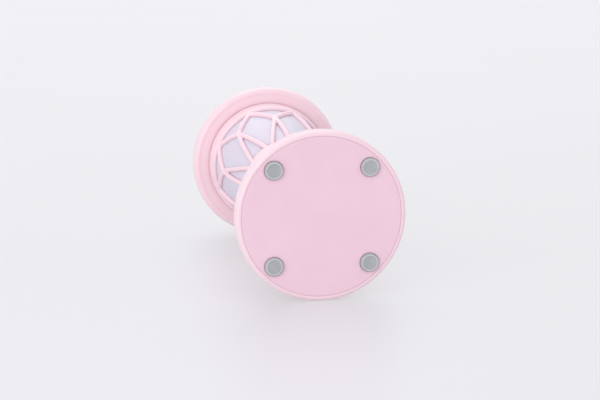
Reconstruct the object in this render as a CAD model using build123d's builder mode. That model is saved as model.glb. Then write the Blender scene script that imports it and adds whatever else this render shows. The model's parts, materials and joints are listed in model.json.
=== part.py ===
"""Personal ice cream maker: a round battery base and pedestal turn a frozen bowl inside a lattice cage.

Frame: millimetres, +Z up, origin under the middle of the feet, front (the power button) facing -Y.
The bowl, the cage and the bowl's layers are all turned from one arc, whose middle is level with CAGE_TOP_Z.
"""

from build123d import *
from math import atan2, cos, degrees, hypot, pi, radians, sin, sqrt, tan
import os

os.makedirs("parts", exist_ok=True)

# ---------------------------------------------------------------- driving dimensions
BASE_R = 65.0  # the base is the widest part
FOOT_DROP = 2.5  # how far the feet stand out below the base plate
BASE_TOP_Z = 19.5  # top of the base deck
WALL = 2.5  # moulded wall thickness
GAP = 0.3  # play between parts that only sit beside each other

# base and its plate
PLATE_R = 61.2
PLATE_EDGE = 0.4  # rounding of the plate's lower edge
PLATE_TOP_Z = 5.2
GROOVE = 0.35  # shadow gap round the plate
LIP_Z = 2.7  # underside of the housing, a little above the plate's
SIDE_BOTTOM_Z = 4.9  # the housing's side is upright from here
SIDE_TOP_Z = 14.5  # to here
SHOULDER_Z_BASE = 18.5
HOUSING_RETURN_R = 58.8  # inner edge of the lip that the plate shuts against
DECK_HOLE_R = 39.0
FOOT_R = 7.3
FOOT_PLAY = 0.2
FOOT_EDGE = 0.8  # rounding of a foot's lower edge
TREAD_R = 5.2  # the flat tread, inside a shallow ring
TREAD_RING = 0.5
TREAD_DEPTH = 0.4
FOOT_OFFSET = 36.7  # feet at (+-, +-) this
FOOT_POCKET = 0.6
SCREW_R = 1.5
SCREW_HEAD_R = 2.8
SCREW_HEAD_H = 1.6
BOSS_R = 4.0
PAD_TOP_Z = 6.2
SEAT_Z = 4.2  # floor of the seats for the drive shaft and the gear axle
BUSH_R = 7.0
SOCKET_Z = 11.0  # height of the charging socket
PEDESTAL_SCREWS = (41.5, 3)  # circle and number of the screws that hold the pedestal
CAGE_SCREWS = (17.0, 3, 30)  # circle, number and first angle of the screws that hold the cage

# drive: the motor turns a pinion, a compound gear and the bowl's gear
MOTOR_R = 12.2
MOTOR_Y = 25.0
MOTOR_WALL = 1.2
MOTOR_TOP_Z = 62.0
MOTOR_SCREW_X = 8.0
MOTOR_BUSH_R = 3.0
MAGNET_T = 2.0
ARMATURE_R = 8.4
COMMUTATOR_R = 3.4
GEAR_PLATE_Z = 20.0
GEAR_PLATE_T = 2.5
GEAR_PLATE_R = 37.8
LEG_RADIUS = 33.0
LEG_ANGLES = (-30, -150, 120)
PINION_TEETH = 14
WHEEL_TEETH = 46
OUTPUT_TEETH = 42
FINE_MODULE = 0.8
COARSE_MODULE = 1.0
PRESSURE_ANGLE = radians(20)
ADDENDUM = 0.8
DEDENDUM = 1.0
BACKLASH = 0.12
WHEEL_Z = 7.8
WHEEL_T = 4.0
OUTPUT_Z = 12.6
OUTPUT_T = 5.0
SHAFT_R = 4.0
MOTOR_SHAFT_R = 1.6
AXLE_R = 1.5
RUNNING = 0.05  # radial running clearance of every shaft

# pedestal
PEDESTAL_FOOT_R = 46.0
PEDESTAL_WAIST = (41.5, 85.0)
PEDESTAL_TOP_R = 27.0
PEDESTAL_TOP_Z = 147.0
BUTTON_Z = 108.0
BUTTON_R = 7.0
BUTTON_TRAVEL = 1.2

# bowl and cage, turned from one arc
CAGE_TOP_R = 51.0
CAGE_TOP_Z = 230.0
BOWL_ARC_R = 123.5
RIB_DEPTH = 2.2
RIB_WIDTH = 3.4
BOWL_INSET = 2.9  # bowl's outside, measured in from the ribs' outside
SHELL_T = 1.8
GEL_T = 4.6
LINER_T = 1.1
BOWL_BOTTOM_Z = 158.0
BOWL_STEP_Z = 164.6  # the bowl's foot, below this, is stepped in
BOWL_STEP = 0.8
BOWL_RIM_Z = 236.0
COLLAR_TOP_Z = 160.5
COLLAR_R = 29.4
COLLAR_IN_R = 26.8
LATTICE_SIDES = 8
LATTICE_Z = (155.9, 194.3, 211.8)  # heights of the three rings of crossings
BAND_Z = 212.0
CAGE_EDGE_Z = 238.5

# rim and lid
RIM_R = 63.9
RIM_UNDER_Z = 229.6
RIM_TOP_Z = 245.0
RIM_WIDEST_Z = 235.4
RIM_BOX_R = 60.4  # where the rim's rounded shell meets its top ring
LID_R = 50.0
LID_TOP_Z = 260.0
FILLER_Y = -29.0
FILLER_R = 12.5
FILLER_COLLAR_T = 1.6
HINGE_Y = -12.6
HINGE_Z = 262.8


# ---------------------------------------------------------------- helpers
def bowl_radius(inset, z):
    """Radius, at height z, of the surface that lies inset mm inside the ribs' outside."""
    return sqrt((BOWL_ARC_R - inset) ** 2 - (z - CAGE_TOP_Z) ** 2) - (BOWL_ARC_R - CAGE_TOP_R)


def bowl_arc(inset, z_start, z_end):
    """The arc of that surface between two heights, for a profile on the XZ plane."""
    z_middle = (z_start + z_end) / 2
    return ThreePointArc(*[(bowl_radius(inset, z), z) for z in (z_start, z_middle, z_end)])


def closed_layer(outer, inner, z_bottom, z_floor, z_top):
    """Profile lines of one cup-shaped layer of the bowl, closed down the axis."""
    bowl_arc(outer, z_bottom, z_top)
    Line((bowl_radius(outer, z_top), z_top), (bowl_radius(inner, z_top), z_top))
    bowl_arc(inner, z_top, z_floor)
    Polyline(
        (bowl_radius(inner, z_floor), z_floor),
        (0, z_floor),
        (0, z_bottom),
        (bowl_radius(outer, z_bottom), z_bottom),
    )


def polar(radius, angle):
    """Point at a radius and an angle in degrees."""
    return (radius * cos(radians(angle)), radius * sin(radians(angle)))


def gear_outline(teeth, module, phase):
    """Corner points of an involute gear with stub teeth; a tooth is centred on the angle phase."""
    pitch_r = teeth * module / 2
    base_r = pitch_r * cos(PRESSURE_ANGLE)
    root_r = pitch_r - DEDENDUM * module
    tip_r = pitch_r + ADDENDUM * module
    half_tooth = pi / (2 * teeth) - BACKLASH / (2 * pitch_r)
    at_base = half_tooth + tan(PRESSURE_ANGLE) - PRESSURE_ANGLE
    start_r = max(base_r, root_r)
    flank = []
    for step in range(5):
        r = start_r + (tip_r - start_r) * step / 4
        roll = sqrt((r / base_r) ** 2 - 1)
        flank.append((r, at_base - (roll - atan2(roll, 1))))
    flank.insert(0, (root_r, flank[0][1]))
    if root_r >= base_r:
        flank.pop(0)
    points = []
    for tooth in range(teeth):
        centre = radians(phase) + 2 * pi * tooth / teeth
        points += [(r * cos(centre - a), r * sin(centre - a)) for r, a in flank]
        points += [(r * cos(centre + a), r * sin(centre + a)) for r, a in reversed(flank)]
    return points


# places worked out from the dimensions above
WHEEL_REACH = (PINION_TEETH + WHEEL_TEETH) * FINE_MODULE / 2
OUTPUT_REACH = (PINION_TEETH + OUTPUT_TEETH) * COARSE_MODULE / 2
IDLER_Y = (OUTPUT_REACH**2 + MOTOR_Y**2 - WHEEL_REACH**2) / (2 * MOTOR_Y)
IDLER_X = sqrt(OUTPUT_REACH**2 - IDLER_Y**2)
TO_IDLER = degrees(atan2(IDLER_Y, IDLER_X))
IDLER_TO_MOTOR = degrees(atan2(MOTOR_Y - IDLER_Y, -IDLER_X))
HALF_PINION_PITCH = 180 / PINION_TEETH
CORNERS = [(x, y) for y in (-FOOT_OFFSET, FOOT_OFFSET) for x in (-FOOT_OFFSET, FOOT_OFFSET)]
LEGS = [polar(LEG_RADIUS, angle) for angle in LEG_ANGLES]
MOTOR_SCREWS = [(-MOTOR_SCREW_X, MOTOR_Y), (MOTOR_SCREW_X, MOTOR_Y)]
GEAR_PLATE_TOP_Z = GEAR_PLATE_Z + GEAR_PLATE_T


# ---------------------------------------------------------------- base
with BuildPart() as base_housing:
    with BuildSketch(Plane.XZ):
        with BuildLine():
            Line((PLATE_R + GROOVE, LIP_Z), (62.4, LIP_Z))
            EllipticalCenterArc(
                (62.4, SIDE_BOTTOM_Z), BASE_R - 62.4, SIDE_BOTTOM_Z - LIP_Z, 270, arc_size=90
            )
            Line((BASE_R, SIDE_BOTTOM_Z), (BASE_R, SIDE_TOP_Z))
            EllipticalCenterArc(
                (60.5, SIDE_TOP_Z), BASE_R - 60.5, SHOULDER_Z_BASE - SIDE_TOP_Z, 0, arc_size=90
            )
            Polyline(
                (60.5, SHOULDER_Z_BASE), (PEDESTAL_FOOT_R + 1.5, 19.2), (PEDESTAL_FOOT_R + 1, BASE_TOP_Z)
            )
            Polyline(
                (PEDESTAL_FOOT_R + 1, BASE_TOP_Z),
                (DECK_HOLE_R, BASE_TOP_Z),
                (DECK_HOLE_R, BASE_TOP_Z - WALL),
                (PEDESTAL_FOOT_R, BASE_TOP_Z - WALL),
                (57.5, 15.9),
                (61.5, 13.5),
                (62.4, 11.0),
                (61.9, 8.6),
                (HOUSING_RETURN_R, 7.2),
                (HOUSING_RETURN_R, PLATE_TOP_Z),
                (PLATE_R + GROOVE, PLATE_TOP_Z),
                (PLATE_R + GROOVE, LIP_Z),
            )
        make_face()
    revolve(axis=Axis.Z)
    # screw bosses that reach down to the plate
    with BuildSketch(Plane.XY.offset(PAD_TOP_Z)):
        with Locations(*CORNERS):
            Circle(BOSS_R)
    extrude(amount=11.0)
    with BuildSketch(Plane.XY.offset(PAD_TOP_Z)):
        with Locations(*CORNERS):
            Circle(SCREW_R)
    extrude(amount=8.5, mode=Mode.SUBTRACT)
    # screw holes for the pedestal
    with BuildSketch(Plane.XY.offset(BASE_TOP_Z - WALL)):
        with PolarLocations(*PEDESTAL_SCREWS):
            Circle(SCREW_R + RUNNING)
    extrude(amount=WALL, mode=Mode.SUBTRACT)
    # mouth of the charging socket, at the back
    with BuildSketch(Plane.XZ.offset(-50)):
        with Locations((0, SOCKET_Z)):
            SlotOverall(10.0, 4.2)
    extrude(amount=-20, mode=Mode.SUBTRACT)
base_housing.part.label = "base_housing"
export_step(base_housing.part, "parts/base_housing.step")

with BuildPart() as base_plate:
    with BuildSketch(Plane.XY.offset(FOOT_DROP)):
        Circle(PLATE_R)
    extrude(amount=PLATE_TOP_Z - FOOT_DROP)
    fillet(base_plate.edges().group_by(Axis.Z)[0], radius=PLATE_EDGE)
    # pads over the screws, legs for the gear plate, seats for the shaft and the gear axle
    with BuildSketch(Plane.XY.offset(PLATE_TOP_Z)):
        with Locations(*CORNERS):
            Circle(6.5)
    extrude(amount=PAD_TOP_Z - PLATE_TOP_Z)
    with BuildSketch(Plane.XY.offset(PLATE_TOP_Z)):
        with Locations(*LEGS):
            Circle(BOSS_R)
    extrude(amount=GEAR_PLATE_Z - PLATE_TOP_Z)
    with BuildSketch(Plane.XY.offset(PLATE_TOP_Z)):
        Circle(9.5)
        with Locations((IDLER_X, IDLER_Y)):
            Circle(3.5)
    extrude(amount=2.3)
    with BuildSketch(Plane.XY.offset(FOOT_DROP)):
        with Locations(*CORNERS):
            Circle(FOOT_R + FOOT_PLAY)
    extrude(amount=FOOT_POCKET, mode=Mode.SUBTRACT)
    with BuildSketch(Plane.XY.offset(FOOT_DROP + FOOT_POCKET)):
        with Locations(*CORNERS):
            Circle(SCREW_HEAD_R + 0.1)
    extrude(amount=SCREW_HEAD_H, mode=Mode.SUBTRACT)
    with BuildSketch(Plane.XY.offset(FOOT_DROP)):
        with Locations(*CORNERS):
            Circle(SCREW_R + 0.1)
    extrude(amount=5.0, mode=Mode.SUBTRACT)
    with BuildSketch(Plane.XY.offset(11.0)):
        with Locations(*LEGS):
            Circle(SCREW_R)
    extrude(amount=9.0, mode=Mode.SUBTRACT)
    with BuildSketch(Plane.XY.offset(SEAT_Z)):
        Circle(BUSH_R)
        with Locations((IDLER_X, IDLER_Y)):
            Circle(AXLE_R)
    extrude(amount=5.0, mode=Mode.SUBTRACT)
base_plate.part.label = "base_plate"
export_step(base_plate.part, "parts/base_plate.step")

for number, corner in enumerate(CORNERS, start=1):
    with BuildPart() as foot:
        with BuildSketch(Plane.XY):
            with Locations(corner):
                Circle(FOOT_R)
        extrude(amount=FOOT_DROP + FOOT_POCKET)
        fillet(foot.edges().group_by(Axis.Z)[0], radius=FOOT_EDGE)
        # the tread stands proud of a shallow ring
        with BuildSketch(Plane.XY):
            with Locations(corner):
                Circle(TREAD_R + TREAD_RING)
                Circle(TREAD_R, mode=Mode.SUBTRACT)
        extrude(amount=TREAD_DEPTH, mode=Mode.SUBTRACT)
    foot.part.label = f"foot_{number}"
    export_step(foot.part, f"parts/foot_{number}.step")

with BuildPart() as base_screws:
    with BuildSketch(Plane.XY.offset(FOOT_DROP + FOOT_POCKET)):
        with Locations(*CORNERS):
            Circle(SCREW_HEAD_R)
    extrude(amount=SCREW_HEAD_H)
    with BuildSketch(Plane.XY.offset(FOOT_DROP + FOOT_POCKET)):
        with Locations(*CORNERS):
            Circle(SCREW_R)
    extrude(amount=10.0)
base_screws.part.label = "base_screws"
export_step(base_screws.part, "parts/base_screws.step")

# ---------------------------------------------------------------- gear train
with BuildPart() as gear_plate:
    with BuildSketch(Plane.XY.offset(GEAR_PLATE_Z)):
        Circle(GEAR_PLATE_R)
        Circle(8.0, mode=Mode.SUBTRACT)
        with Locations((0, MOTOR_Y)):
            Circle(6.0, mode=Mode.SUBTRACT)
        with Locations(*MOTOR_SCREWS):
            Circle(SCREW_R, mode=Mode.SUBTRACT)
        with Locations((IDLER_X, IDLER_Y)):
            Circle(AXLE_R, mode=Mode.SUBTRACT)
        with Locations(*LEGS):
            Circle(SCREW_R, mode=Mode.SUBTRACT)
    extrude(amount=GEAR_PLATE_T)
gear_plate.part.label = "gear_plate"
export_step(gear_plate.part, "parts/gear_plate.step")

with BuildPart() as gear_plate_screws:
    with BuildSketch(Plane.XY.offset(GEAR_PLATE_TOP_Z)):
        with Locations(*LEGS):
            Circle(SCREW_HEAD_R)
    extrude(amount=SCREW_HEAD_H)
    with BuildSketch(Plane.XY.offset(GEAR_PLATE_TOP_Z)):
        with Locations(*LEGS):
            Circle(SCREW_R)
    extrude(amount=-10.0)
gear_plate_screws.part.label = "gear_plate_screws"
export_step(gear_plate_screws.part, "parts/gear_plate_screws.step")

with BuildPart() as idler_axle:
    with BuildSketch(Plane.XY.offset(SEAT_Z)):
        with Locations((IDLER_X, IDLER_Y)):
            Circle(AXLE_R)
    extrude(amount=GEAR_PLATE_TOP_Z - SEAT_Z)
idler_axle.part.label = "idler_axle"
export_step(idler_axle.part, "parts/idler_axle.step")

with BuildPart() as lower_bush:
    with BuildSketch(Plane.XY.offset(SEAT_Z)):
        Circle(BUSH_R)
        Circle(SHAFT_R + RUNNING, mode=Mode.SUBTRACT)
    extrude(amount=5.6)
lower_bush.part.label = "lower_bush"
export_step(lower_bush.part, "parts/lower_bush.step")

with BuildPart() as middle_bearing:
    with BuildSketch(Plane.XY.offset(GEAR_PLATE_Z)):
        Circle(8.0)
        Circle(SHAFT_R + RUNNING, mode=Mode.SUBTRACT)
    extrude(amount=5.0)
middle_bearing.part.label = "middle_bearing"
export_step(middle_bearing.part, "parts/middle_bearing.step")

with BuildPart() as motor_pinion:
    with BuildSketch(Plane.XY.offset(WHEEL_Z)) as pinion_face:
        with Locations((0, MOTOR_Y)):
            Polygon(
                *gear_outline(PINION_TEETH, FINE_MODULE, IDLER_TO_MOTOR + 180 + HALF_PINION_PITCH),
                align=None,
            )
            Circle(MOTOR_SHAFT_R, mode=Mode.SUBTRACT)
    extrude(amount=WHEEL_T)
motor_pinion.part.label = "motor_pinion"
export_step(motor_pinion.part, "parts/motor_pinion.step")

with BuildPart() as compound_gear:
    with BuildSketch(Plane.XY.offset(WHEEL_Z)):
        with Locations((IDLER_X, IDLER_Y)):
            Polygon(*gear_outline(WHEEL_TEETH, FINE_MODULE, IDLER_TO_MOTOR), align=None)
    extrude(amount=WHEEL_T)
    with BuildSketch(Plane.XY.offset(WHEEL_Z + WHEEL_T)):
        with Locations((IDLER_X, IDLER_Y)):
            Polygon(
                *gear_outline(PINION_TEETH, COARSE_MODULE, TO_IDLER + 180 + HALF_PINION_PITCH),
                align=None,
            )
    extrude(amount=OUTPUT_Z + OUTPUT_T + 0.6 - WHEEL_Z - WHEEL_T)
    # recessed web, as a moulded gear has
    with BuildSketch(Plane.XY.offset(WHEEL_Z)):
        with Locations((IDLER_X, IDLER_Y)):
            Circle(15.5)
            Circle(5.0, mode=Mode.SUBTRACT)
    extrude(amount=1.4, mode=Mode.SUBTRACT)
    with BuildSketch(Plane.XY.offset(WHEEL_Z)):
        with Locations((IDLER_X, IDLER_Y)):
            Circle(AXLE_R + RUNNING)
    extrude(amount=15.0, mode=Mode.SUBTRACT)
compound_gear.part.label = "compound_gear"
export_step(compound_gear.part, "parts/compound_gear.step")

with BuildPart() as output_gear:
    with BuildSketch(Plane.XY.offset(OUTPUT_Z)):
        Polygon(*gear_outline(OUTPUT_TEETH, COARSE_MODULE, TO_IDLER), align=None)
    extrude(amount=OUTPUT_T)
    with BuildSketch(Plane.XY.offset(OUTPUT_Z)):
        with PolarLocations(12.5, 6):
            Circle(3.6)
    extrude(amount=OUTPUT_T, mode=Mode.SUBTRACT)
    with BuildSketch(Plane.XY.offset(10.1)):
        Circle(7.0)
    extrude(amount=9.4)
    with BuildSketch(Plane.XY.offset(10.1)):
        Circle(SHAFT_R)
    extrude(amount=9.4, mode=Mode.SUBTRACT)
output_gear.part.label = "output_gear"
export_step(output_gear.part, "parts/output_gear.step")

# ---------------------------------------------------------------- motor
with BuildPart() as motor_can:
    with BuildSketch(Plane.XY.offset(GEAR_PLATE_TOP_Z)):
        with Locations((0, MOTOR_Y)):
            Circle(MOTOR_R)
            Circle(MOTOR_BUSH_R, mode=Mode.SUBTRACT)
        with Locations(*MOTOR_SCREWS):
            Circle(SCREW_R, mode=Mode.SUBTRACT)
    extrude(amount=MOTOR_WALL)
    with BuildSketch(Plane.XY.offset(GEAR_PLATE_TOP_Z)):
        with Locations((0, MOTOR_Y)):
            Circle(MOTOR_R)
            Circle(MOTOR_R - MOTOR_WALL, mode=Mode.SUBTRACT)
    extrude(amount=MOTOR_TOP_Z - GEAR_PLATE_TOP_Z)
motor_can.part.label = "motor_can"
export_step(motor_can.part, "parts/motor_can.step")

with BuildPart() as motor_bush:
    with BuildSketch(Plane.XY.offset(GEAR_PLATE_Z + 0.5)):
        with Locations((0, MOTOR_Y)):
            Circle(MOTOR_BUSH_R)
            Circle(MOTOR_SHAFT_R + RUNNING, mode=Mode.SUBTRACT)
    extrude(amount=3.2)
motor_bush.part.label = "motor_bush"
export_step(motor_bush.part, "parts/motor_bush.step")

with BuildPart() as motor_screws:
    with BuildSketch(Plane.XY.offset(GEAR_PLATE_Z)):
        with Locations(*MOTOR_SCREWS):
            Circle(SCREW_HEAD_R)
    extrude(amount=-SCREW_HEAD_H)
    with BuildSketch(Plane.XY.offset(GEAR_PLATE_Z)):
        with Locations(*MOTOR_SCREWS):
            Circle(SCREW_R)
    extrude(amount=3.7)
motor_screws.part.label = "motor_screws"
export_step(motor_screws.part, "parts/motor_screws.step")

with BuildPart() as motor_magnets:
    with BuildSketch(Plane.XY.offset(28.0)):
        with Locations((0, MOTOR_Y)):
            Circle(MOTOR_R - MOTOR_WALL)
            Circle(MOTOR_R - MOTOR_WALL - MAGNET_T, mode=Mode.SUBTRACT)
            Rectangle(2 * MOTOR_R, 8.0, mode=Mode.SUBTRACT)
    extrude(amount=26.0)
motor_magnets.part.label = "motor_magnets"
export_step(motor_magnets.part, "parts/motor_magnets.step")

with BuildPart() as motor_armature:
    with BuildSketch(Plane.XY.offset(29.0)):
        with Locations((0, MOTOR_Y)):
            Circle(ARMATURE_R)
            with PolarLocations(6.4, 5):
                SlotOverall(5.2, 1.6, mode=Mode.SUBTRACT)
            Circle(MOTOR_SHAFT_R, mode=Mode.SUBTRACT)
    extrude(amount=24.0)
motor_armature.part.label = "motor_armature"
export_step(motor_armature.part, "parts/motor_armature.step")

with BuildPart() as motor_commutator:
    with BuildSketch(Plane.XY.offset(54.0)):
        with Locations((0, MOTOR_Y)):
            Circle(COMMUTATOR_R)
            Circle(MOTOR_SHAFT_R, mode=Mode.SUBTRACT)
    extrude(amount=6.0)
motor_commutator.part.label = "motor_commutator"
export_step(motor_commutator.part, "parts/motor_commutator.step")

with BuildPart() as motor_shaft:
    with BuildSketch(Plane.XY.offset(WHEEL_Z - 0.4)):
        with Locations((0, MOTOR_Y)):
            Circle(MOTOR_SHAFT_R)
    extrude(amount=MOTOR_TOP_Z + 1.5 - WHEEL_Z)
motor_shaft.part.label = "motor_shaft"
export_step(motor_shaft.part, "parts/motor_shaft.step")

with BuildPart() as motor_end_cap:
    with BuildSketch(Plane.XY.offset(MOTOR_TOP_Z)):
        with Locations((0, MOTOR_Y)):
            Circle(MOTOR_R)
    extrude(amount=3.6)
    fillet(motor_end_cap.edges().group_by(Axis.Z)[-1], radius=1.0)
    with BuildSketch(Plane.XY.offset(MOTOR_TOP_Z)):
        with Locations((0, MOTOR_Y)):
            Circle(MOTOR_SHAFT_R + RUNNING)
    extrude(amount=2.4, mode=Mode.SUBTRACT)
    # solder tabs
    with BuildSketch(Plane.XY.offset(MOTOR_TOP_Z + 3.6)):
        with Locations((-7, MOTOR_Y), (7, MOTOR_Y)):
            Rectangle(0.6, 3.0)
    extrude(amount=4.0)
motor_end_cap.part.label = "motor_end_cap"
export_step(motor_end_cap.part, "parts/motor_end_cap.step")

# ---------------------------------------------------------------- batteries and electronics
CELL_R = 9.1
CELL_H = 65.0
CELL_Z = GEAR_PLATE_TOP_Z + 2.0
CELLS = [(-19.5, -13.0), (19.5, -13.0)]
with BuildPart() as battery_tray:
    with BuildSketch(Plane.XY.offset(GEAR_PLATE_TOP_Z)):
        with Locations((0, -13.0)):
            SlotOverall(2 * (19.5 + CELL_R + 1.6), 2 * (CELL_R + 1.6))
        Circle(10.5, mode=Mode.SUBTRACT)
        with Locations(LEGS[0], LEGS[1]):
            Circle(SCREW_HEAD_R + GAP, mode=Mode.SUBTRACT)
    extrude(amount=12.0)
    with BuildSketch(Plane.XY.offset(CELL_Z)):
        with Locations(*CELLS):
            Circle(CELL_R)
    extrude(amount=12.0, mode=Mode.SUBTRACT)
battery_tray.part.label = "battery_tray"
export_step(battery_tray.part, "parts/battery_tray.step")

for side, cell_place in zip(("left", "right"), CELLS):
    with BuildPart() as battery_cell:
        with BuildSketch(Plane.XY.offset(CELL_Z)):
            with Locations(cell_place):
                Circle(CELL_R)
        extrude(amount=CELL_H)
        with BuildSketch(Plane.XY.offset(CELL_Z + CELL_H)):
            with Locations(cell_place):
                Circle(3.0)
        extrude(amount=1.2)
    battery_cell.part.label = f"battery_cell_{side}"
    export_step(battery_cell.part, f"parts/battery_cell_{side}.step")

CAP_Z = CELL_Z + CELL_H + 1.2
with BuildPart() as battery_cap:
    with BuildSketch(Plane.XY.offset(CAP_Z)):
        with Locations((0, -13.0)):
            SlotOverall(2 * (19.5 + CELL_R + 0.8), 2 * (CELL_R + 0.8))
        Circle(8.0, mode=Mode.SUBTRACT)
    extrude(amount=2.0)
battery_cap.part.label = "battery_cap"
export_step(battery_cap.part, "parts/battery_cap.step")

BOARD_Y = -27.5
with BuildPart() as control_board:
    with BuildSketch(Plane.XZ.offset(-BOARD_Y)):
        with Locations((0, BUTTON_Z)):
            RectangleRounded(24.0, 30.0, 1.5)
    extrude(amount=-1.6)
    # the chip and two capacitors on the back of the board
    with BuildSketch(Plane.XZ.offset(-BOARD_Y - 1.6)):
        with Locations((0, BUTTON_Z - 4)):
            Rectangle(7.0, 7.0)
        with Locations((-7.5, BUTTON_Z + 8), (7.5, BUTTON_Z + 8)):
            Rectangle(3.2, 3.2)
    extrude(amount=-1.4)
control_board.part.label = "control_board"
export_step(control_board.part, "parts/control_board.step")

SWITCH_T = 3.4
with BuildPart() as button_switch:
    with BuildSketch(Plane.XZ.offset(-BOARD_Y)):
        with Locations((0, BUTTON_Z)):
            RectangleRounded(6.2, 6.2, 0.5)
    extrude(amount=SWITCH_T)
button_switch.part.label = "button_switch"
export_step(button_switch.part, "parts/button_switch.step")

with BuildPart() as charge_board:
    with BuildSketch(Plane.XY.offset(7.4)):
        with Locations((0, 50.0)):
            Rectangle(20.0, 13.0)
    extrude(amount=1.6)
charge_board.part.label = "charge_board"
export_step(charge_board.part, "parts/charge_board.step")

with BuildPart() as charging_socket:
    with BuildSketch(Plane.XZ.offset(-52.0)):
        with Locations((0, SOCKET_Z)):
            SlotOverall(9.0, 3.2)
    extrude(amount=-9.6)
    with BuildSketch(Plane.XZ.offset(-54.0)):
        with Locations((0, SOCKET_Z)):
            SlotOverall(8.4, 2.6)
    extrude(amount=-10, mode=Mode.SUBTRACT)
    with BuildSketch(Plane.XZ.offset(-54.0)):
        with Locations((0, SOCKET_Z)):
            Rectangle(6.6, 0.7)
    extrude(amount=-6.4)
    # saddle that stands it on its board
    with BuildSketch(Plane.XY.offset(9.0)):
        with Locations((0, 54.0)):
            Rectangle(8.0, 4.0)
    extrude(amount=0.5)
charging_socket.part.label = "charging_socket"
export_step(charging_socket.part, "parts/charging_socket.step")

# ---------------------------------------------------------------- pedestal
HEAD_R = 24.4
with BuildPart() as pedestal_shell:
    with BuildSketch(Plane.XZ):
        with BuildLine():
            ThreePointArc(
                (PEDESTAL_FOOT_R, BASE_TOP_Z), PEDESTAL_WAIST, (PEDESTAL_TOP_R, PEDESTAL_TOP_Z)
            )
            Line((PEDESTAL_TOP_R, PEDESTAL_TOP_Z), (HEAD_R, PEDESTAL_TOP_Z))
            ThreePointArc(
                (HEAD_R, PEDESTAL_TOP_Z),
                (PEDESTAL_WAIST[0] - WALL, PEDESTAL_WAIST[1]),
                (PEDESTAL_FOOT_R - WALL, BASE_TOP_Z),
            )
            Line((PEDESTAL_FOOT_R - WALL, BASE_TOP_Z), (PEDESTAL_FOOT_R, BASE_TOP_Z))
        make_face()
    revolve(axis=Axis.Z)
    # screw bosses at the foot
    with BuildSketch(Plane.XY.offset(BASE_TOP_Z)):
        with PolarLocations(*PEDESTAL_SCREWS):
            Circle(3.0)
    extrude(amount=12.0)
    with BuildSketch(Plane.XY.offset(BASE_TOP_Z)):
        with PolarLocations(*PEDESTAL_SCREWS):
            Circle(SCREW_R)
    extrude(amount=10.0, mode=Mode.SUBTRACT)
    # the head's seat inside the neck
    with BuildSketch(Plane.XY.offset(PEDESTAL_TOP_Z - 8)):
        Circle(HEAD_R)
    extrude(amount=8.0, mode=Mode.SUBTRACT)
    # hole for the button's bezel, and the small lamp above it
    with BuildSketch(Plane.XZ.offset(30)):
        with Locations((0, BUTTON_Z)):
            Circle(BUTTON_R + 2.0)
        with Locations((0, BUTTON_Z + 15)):
            Circle(1.6)
    extrude(amount=20, mode=Mode.SUBTRACT)
pedestal_shell.part.label = "pedestal_shell"
export_step(pedestal_shell.part, "parts/pedestal_shell.step")

with BuildPart() as pedestal_screws:
    with BuildSketch(Plane.XY.offset(BASE_TOP_Z - WALL)):
        with PolarLocations(*PEDESTAL_SCREWS):
            Circle(SCREW_HEAD_R - 0.3)
    extrude(amount=-SCREW_HEAD_H)
    with BuildSketch(Plane.XY.offset(BASE_TOP_Z - WALL)):
        with PolarLocations(*PEDESTAL_SCREWS):
            Circle(SCREW_R)
    extrude(amount=11.0)
pedestal_screws.part.label = "pedestal_screws"
export_step(pedestal_screws.part, "parts/pedestal_screws.step")

with BuildPart() as pedestal_head:
    with BuildSketch(Plane.XZ):
        with BuildLine():
            Polyline(
                (7.0, PEDESTAL_TOP_Z - 6),
                (10.0, PEDESTAL_TOP_Z - 6),
                (10.0, PEDESTAL_TOP_Z - 2),
                (HEAD_R - 2, PEDESTAL_TOP_Z - 2),
                (HEAD_R - 2, PEDESTAL_TOP_Z - 7.5),
                (HEAD_R, PEDESTAL_TOP_Z - 7.5),
                (HEAD_R, PEDESTAL_TOP_Z),
                (PEDESTAL_TOP_R, PEDESTAL_TOP_Z),
                (PEDESTAL_TOP_R, PEDESTAL_TOP_Z + 1.5),
                (HEAD_R, PEDESTAL_TOP_Z + 3),
                (10.5, PEDESTAL_TOP_Z + 3),
                (10.5, PEDESTAL_TOP_Z + 1.5),
                (8.0, PEDESTAL_TOP_Z + 1.5),
                (8.0, PEDESTAL_TOP_Z - 4),
                (7.0, PEDESTAL_TOP_Z - 4),
                close=True,
            )
        make_face()
    revolve(axis=Axis.Z)
    with BuildSketch(Plane.XY.offset(PEDESTAL_TOP_Z - 4)):
        with PolarLocations(*CAGE_SCREWS):
            Circle(SCREW_R)
    extrude(amount=8.0, mode=Mode.SUBTRACT)
pedestal_head.part.label = "pedestal_head"
export_step(pedestal_head.part, "parts/pedestal_head.step")

with BuildPart() as upper_bearing:
    with BuildSketch(Plane.XY.offset(PEDESTAL_TOP_Z - 4)):
        Circle(8.0)
        Circle(SHAFT_R + RUNNING, mode=Mode.SUBTRACT)
    extrude(amount=5.0)
upper_bearing.part.label = "upper_bearing"
export_step(upper_bearing.part, "parts/upper_bearing.step")

with BuildPart() as shaft_seal:
    with BuildSketch(Plane.XY.offset(PEDESTAL_TOP_Z + 1.5)):
        Circle(10.5)
        Circle(SHAFT_R + RUNNING, mode=Mode.SUBTRACT)
    extrude(amount=2.0)
    fillet(shaft_seal.edges().group_by(Axis.Z)[-1], radius=0.5)
shaft_seal.part.label = "shaft_seal"
export_step(shaft_seal.part, "parts/shaft_seal.step")

# ---------------------------------------------------------------- button
BUTTON_SEAT = 36.0  # distance of the bezel's back from the axis
with BuildPart() as button_bezel:
    with BuildSketch(Plane.XZ.offset(BUTTON_SEAT)):
        with Locations((0, BUTTON_Z)):
            Circle(BUTTON_R + 2.0)
            Circle(BUTTON_R + GAP, mode=Mode.SUBTRACT)
    extrude(amount=3.6)
    fillet(button_bezel.edges().group_by(Axis.Y)[0], radius=0.5)
button_bezel.part.label = "button_bezel"
export_step(button_bezel.part, "parts/button_bezel.step")

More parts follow.
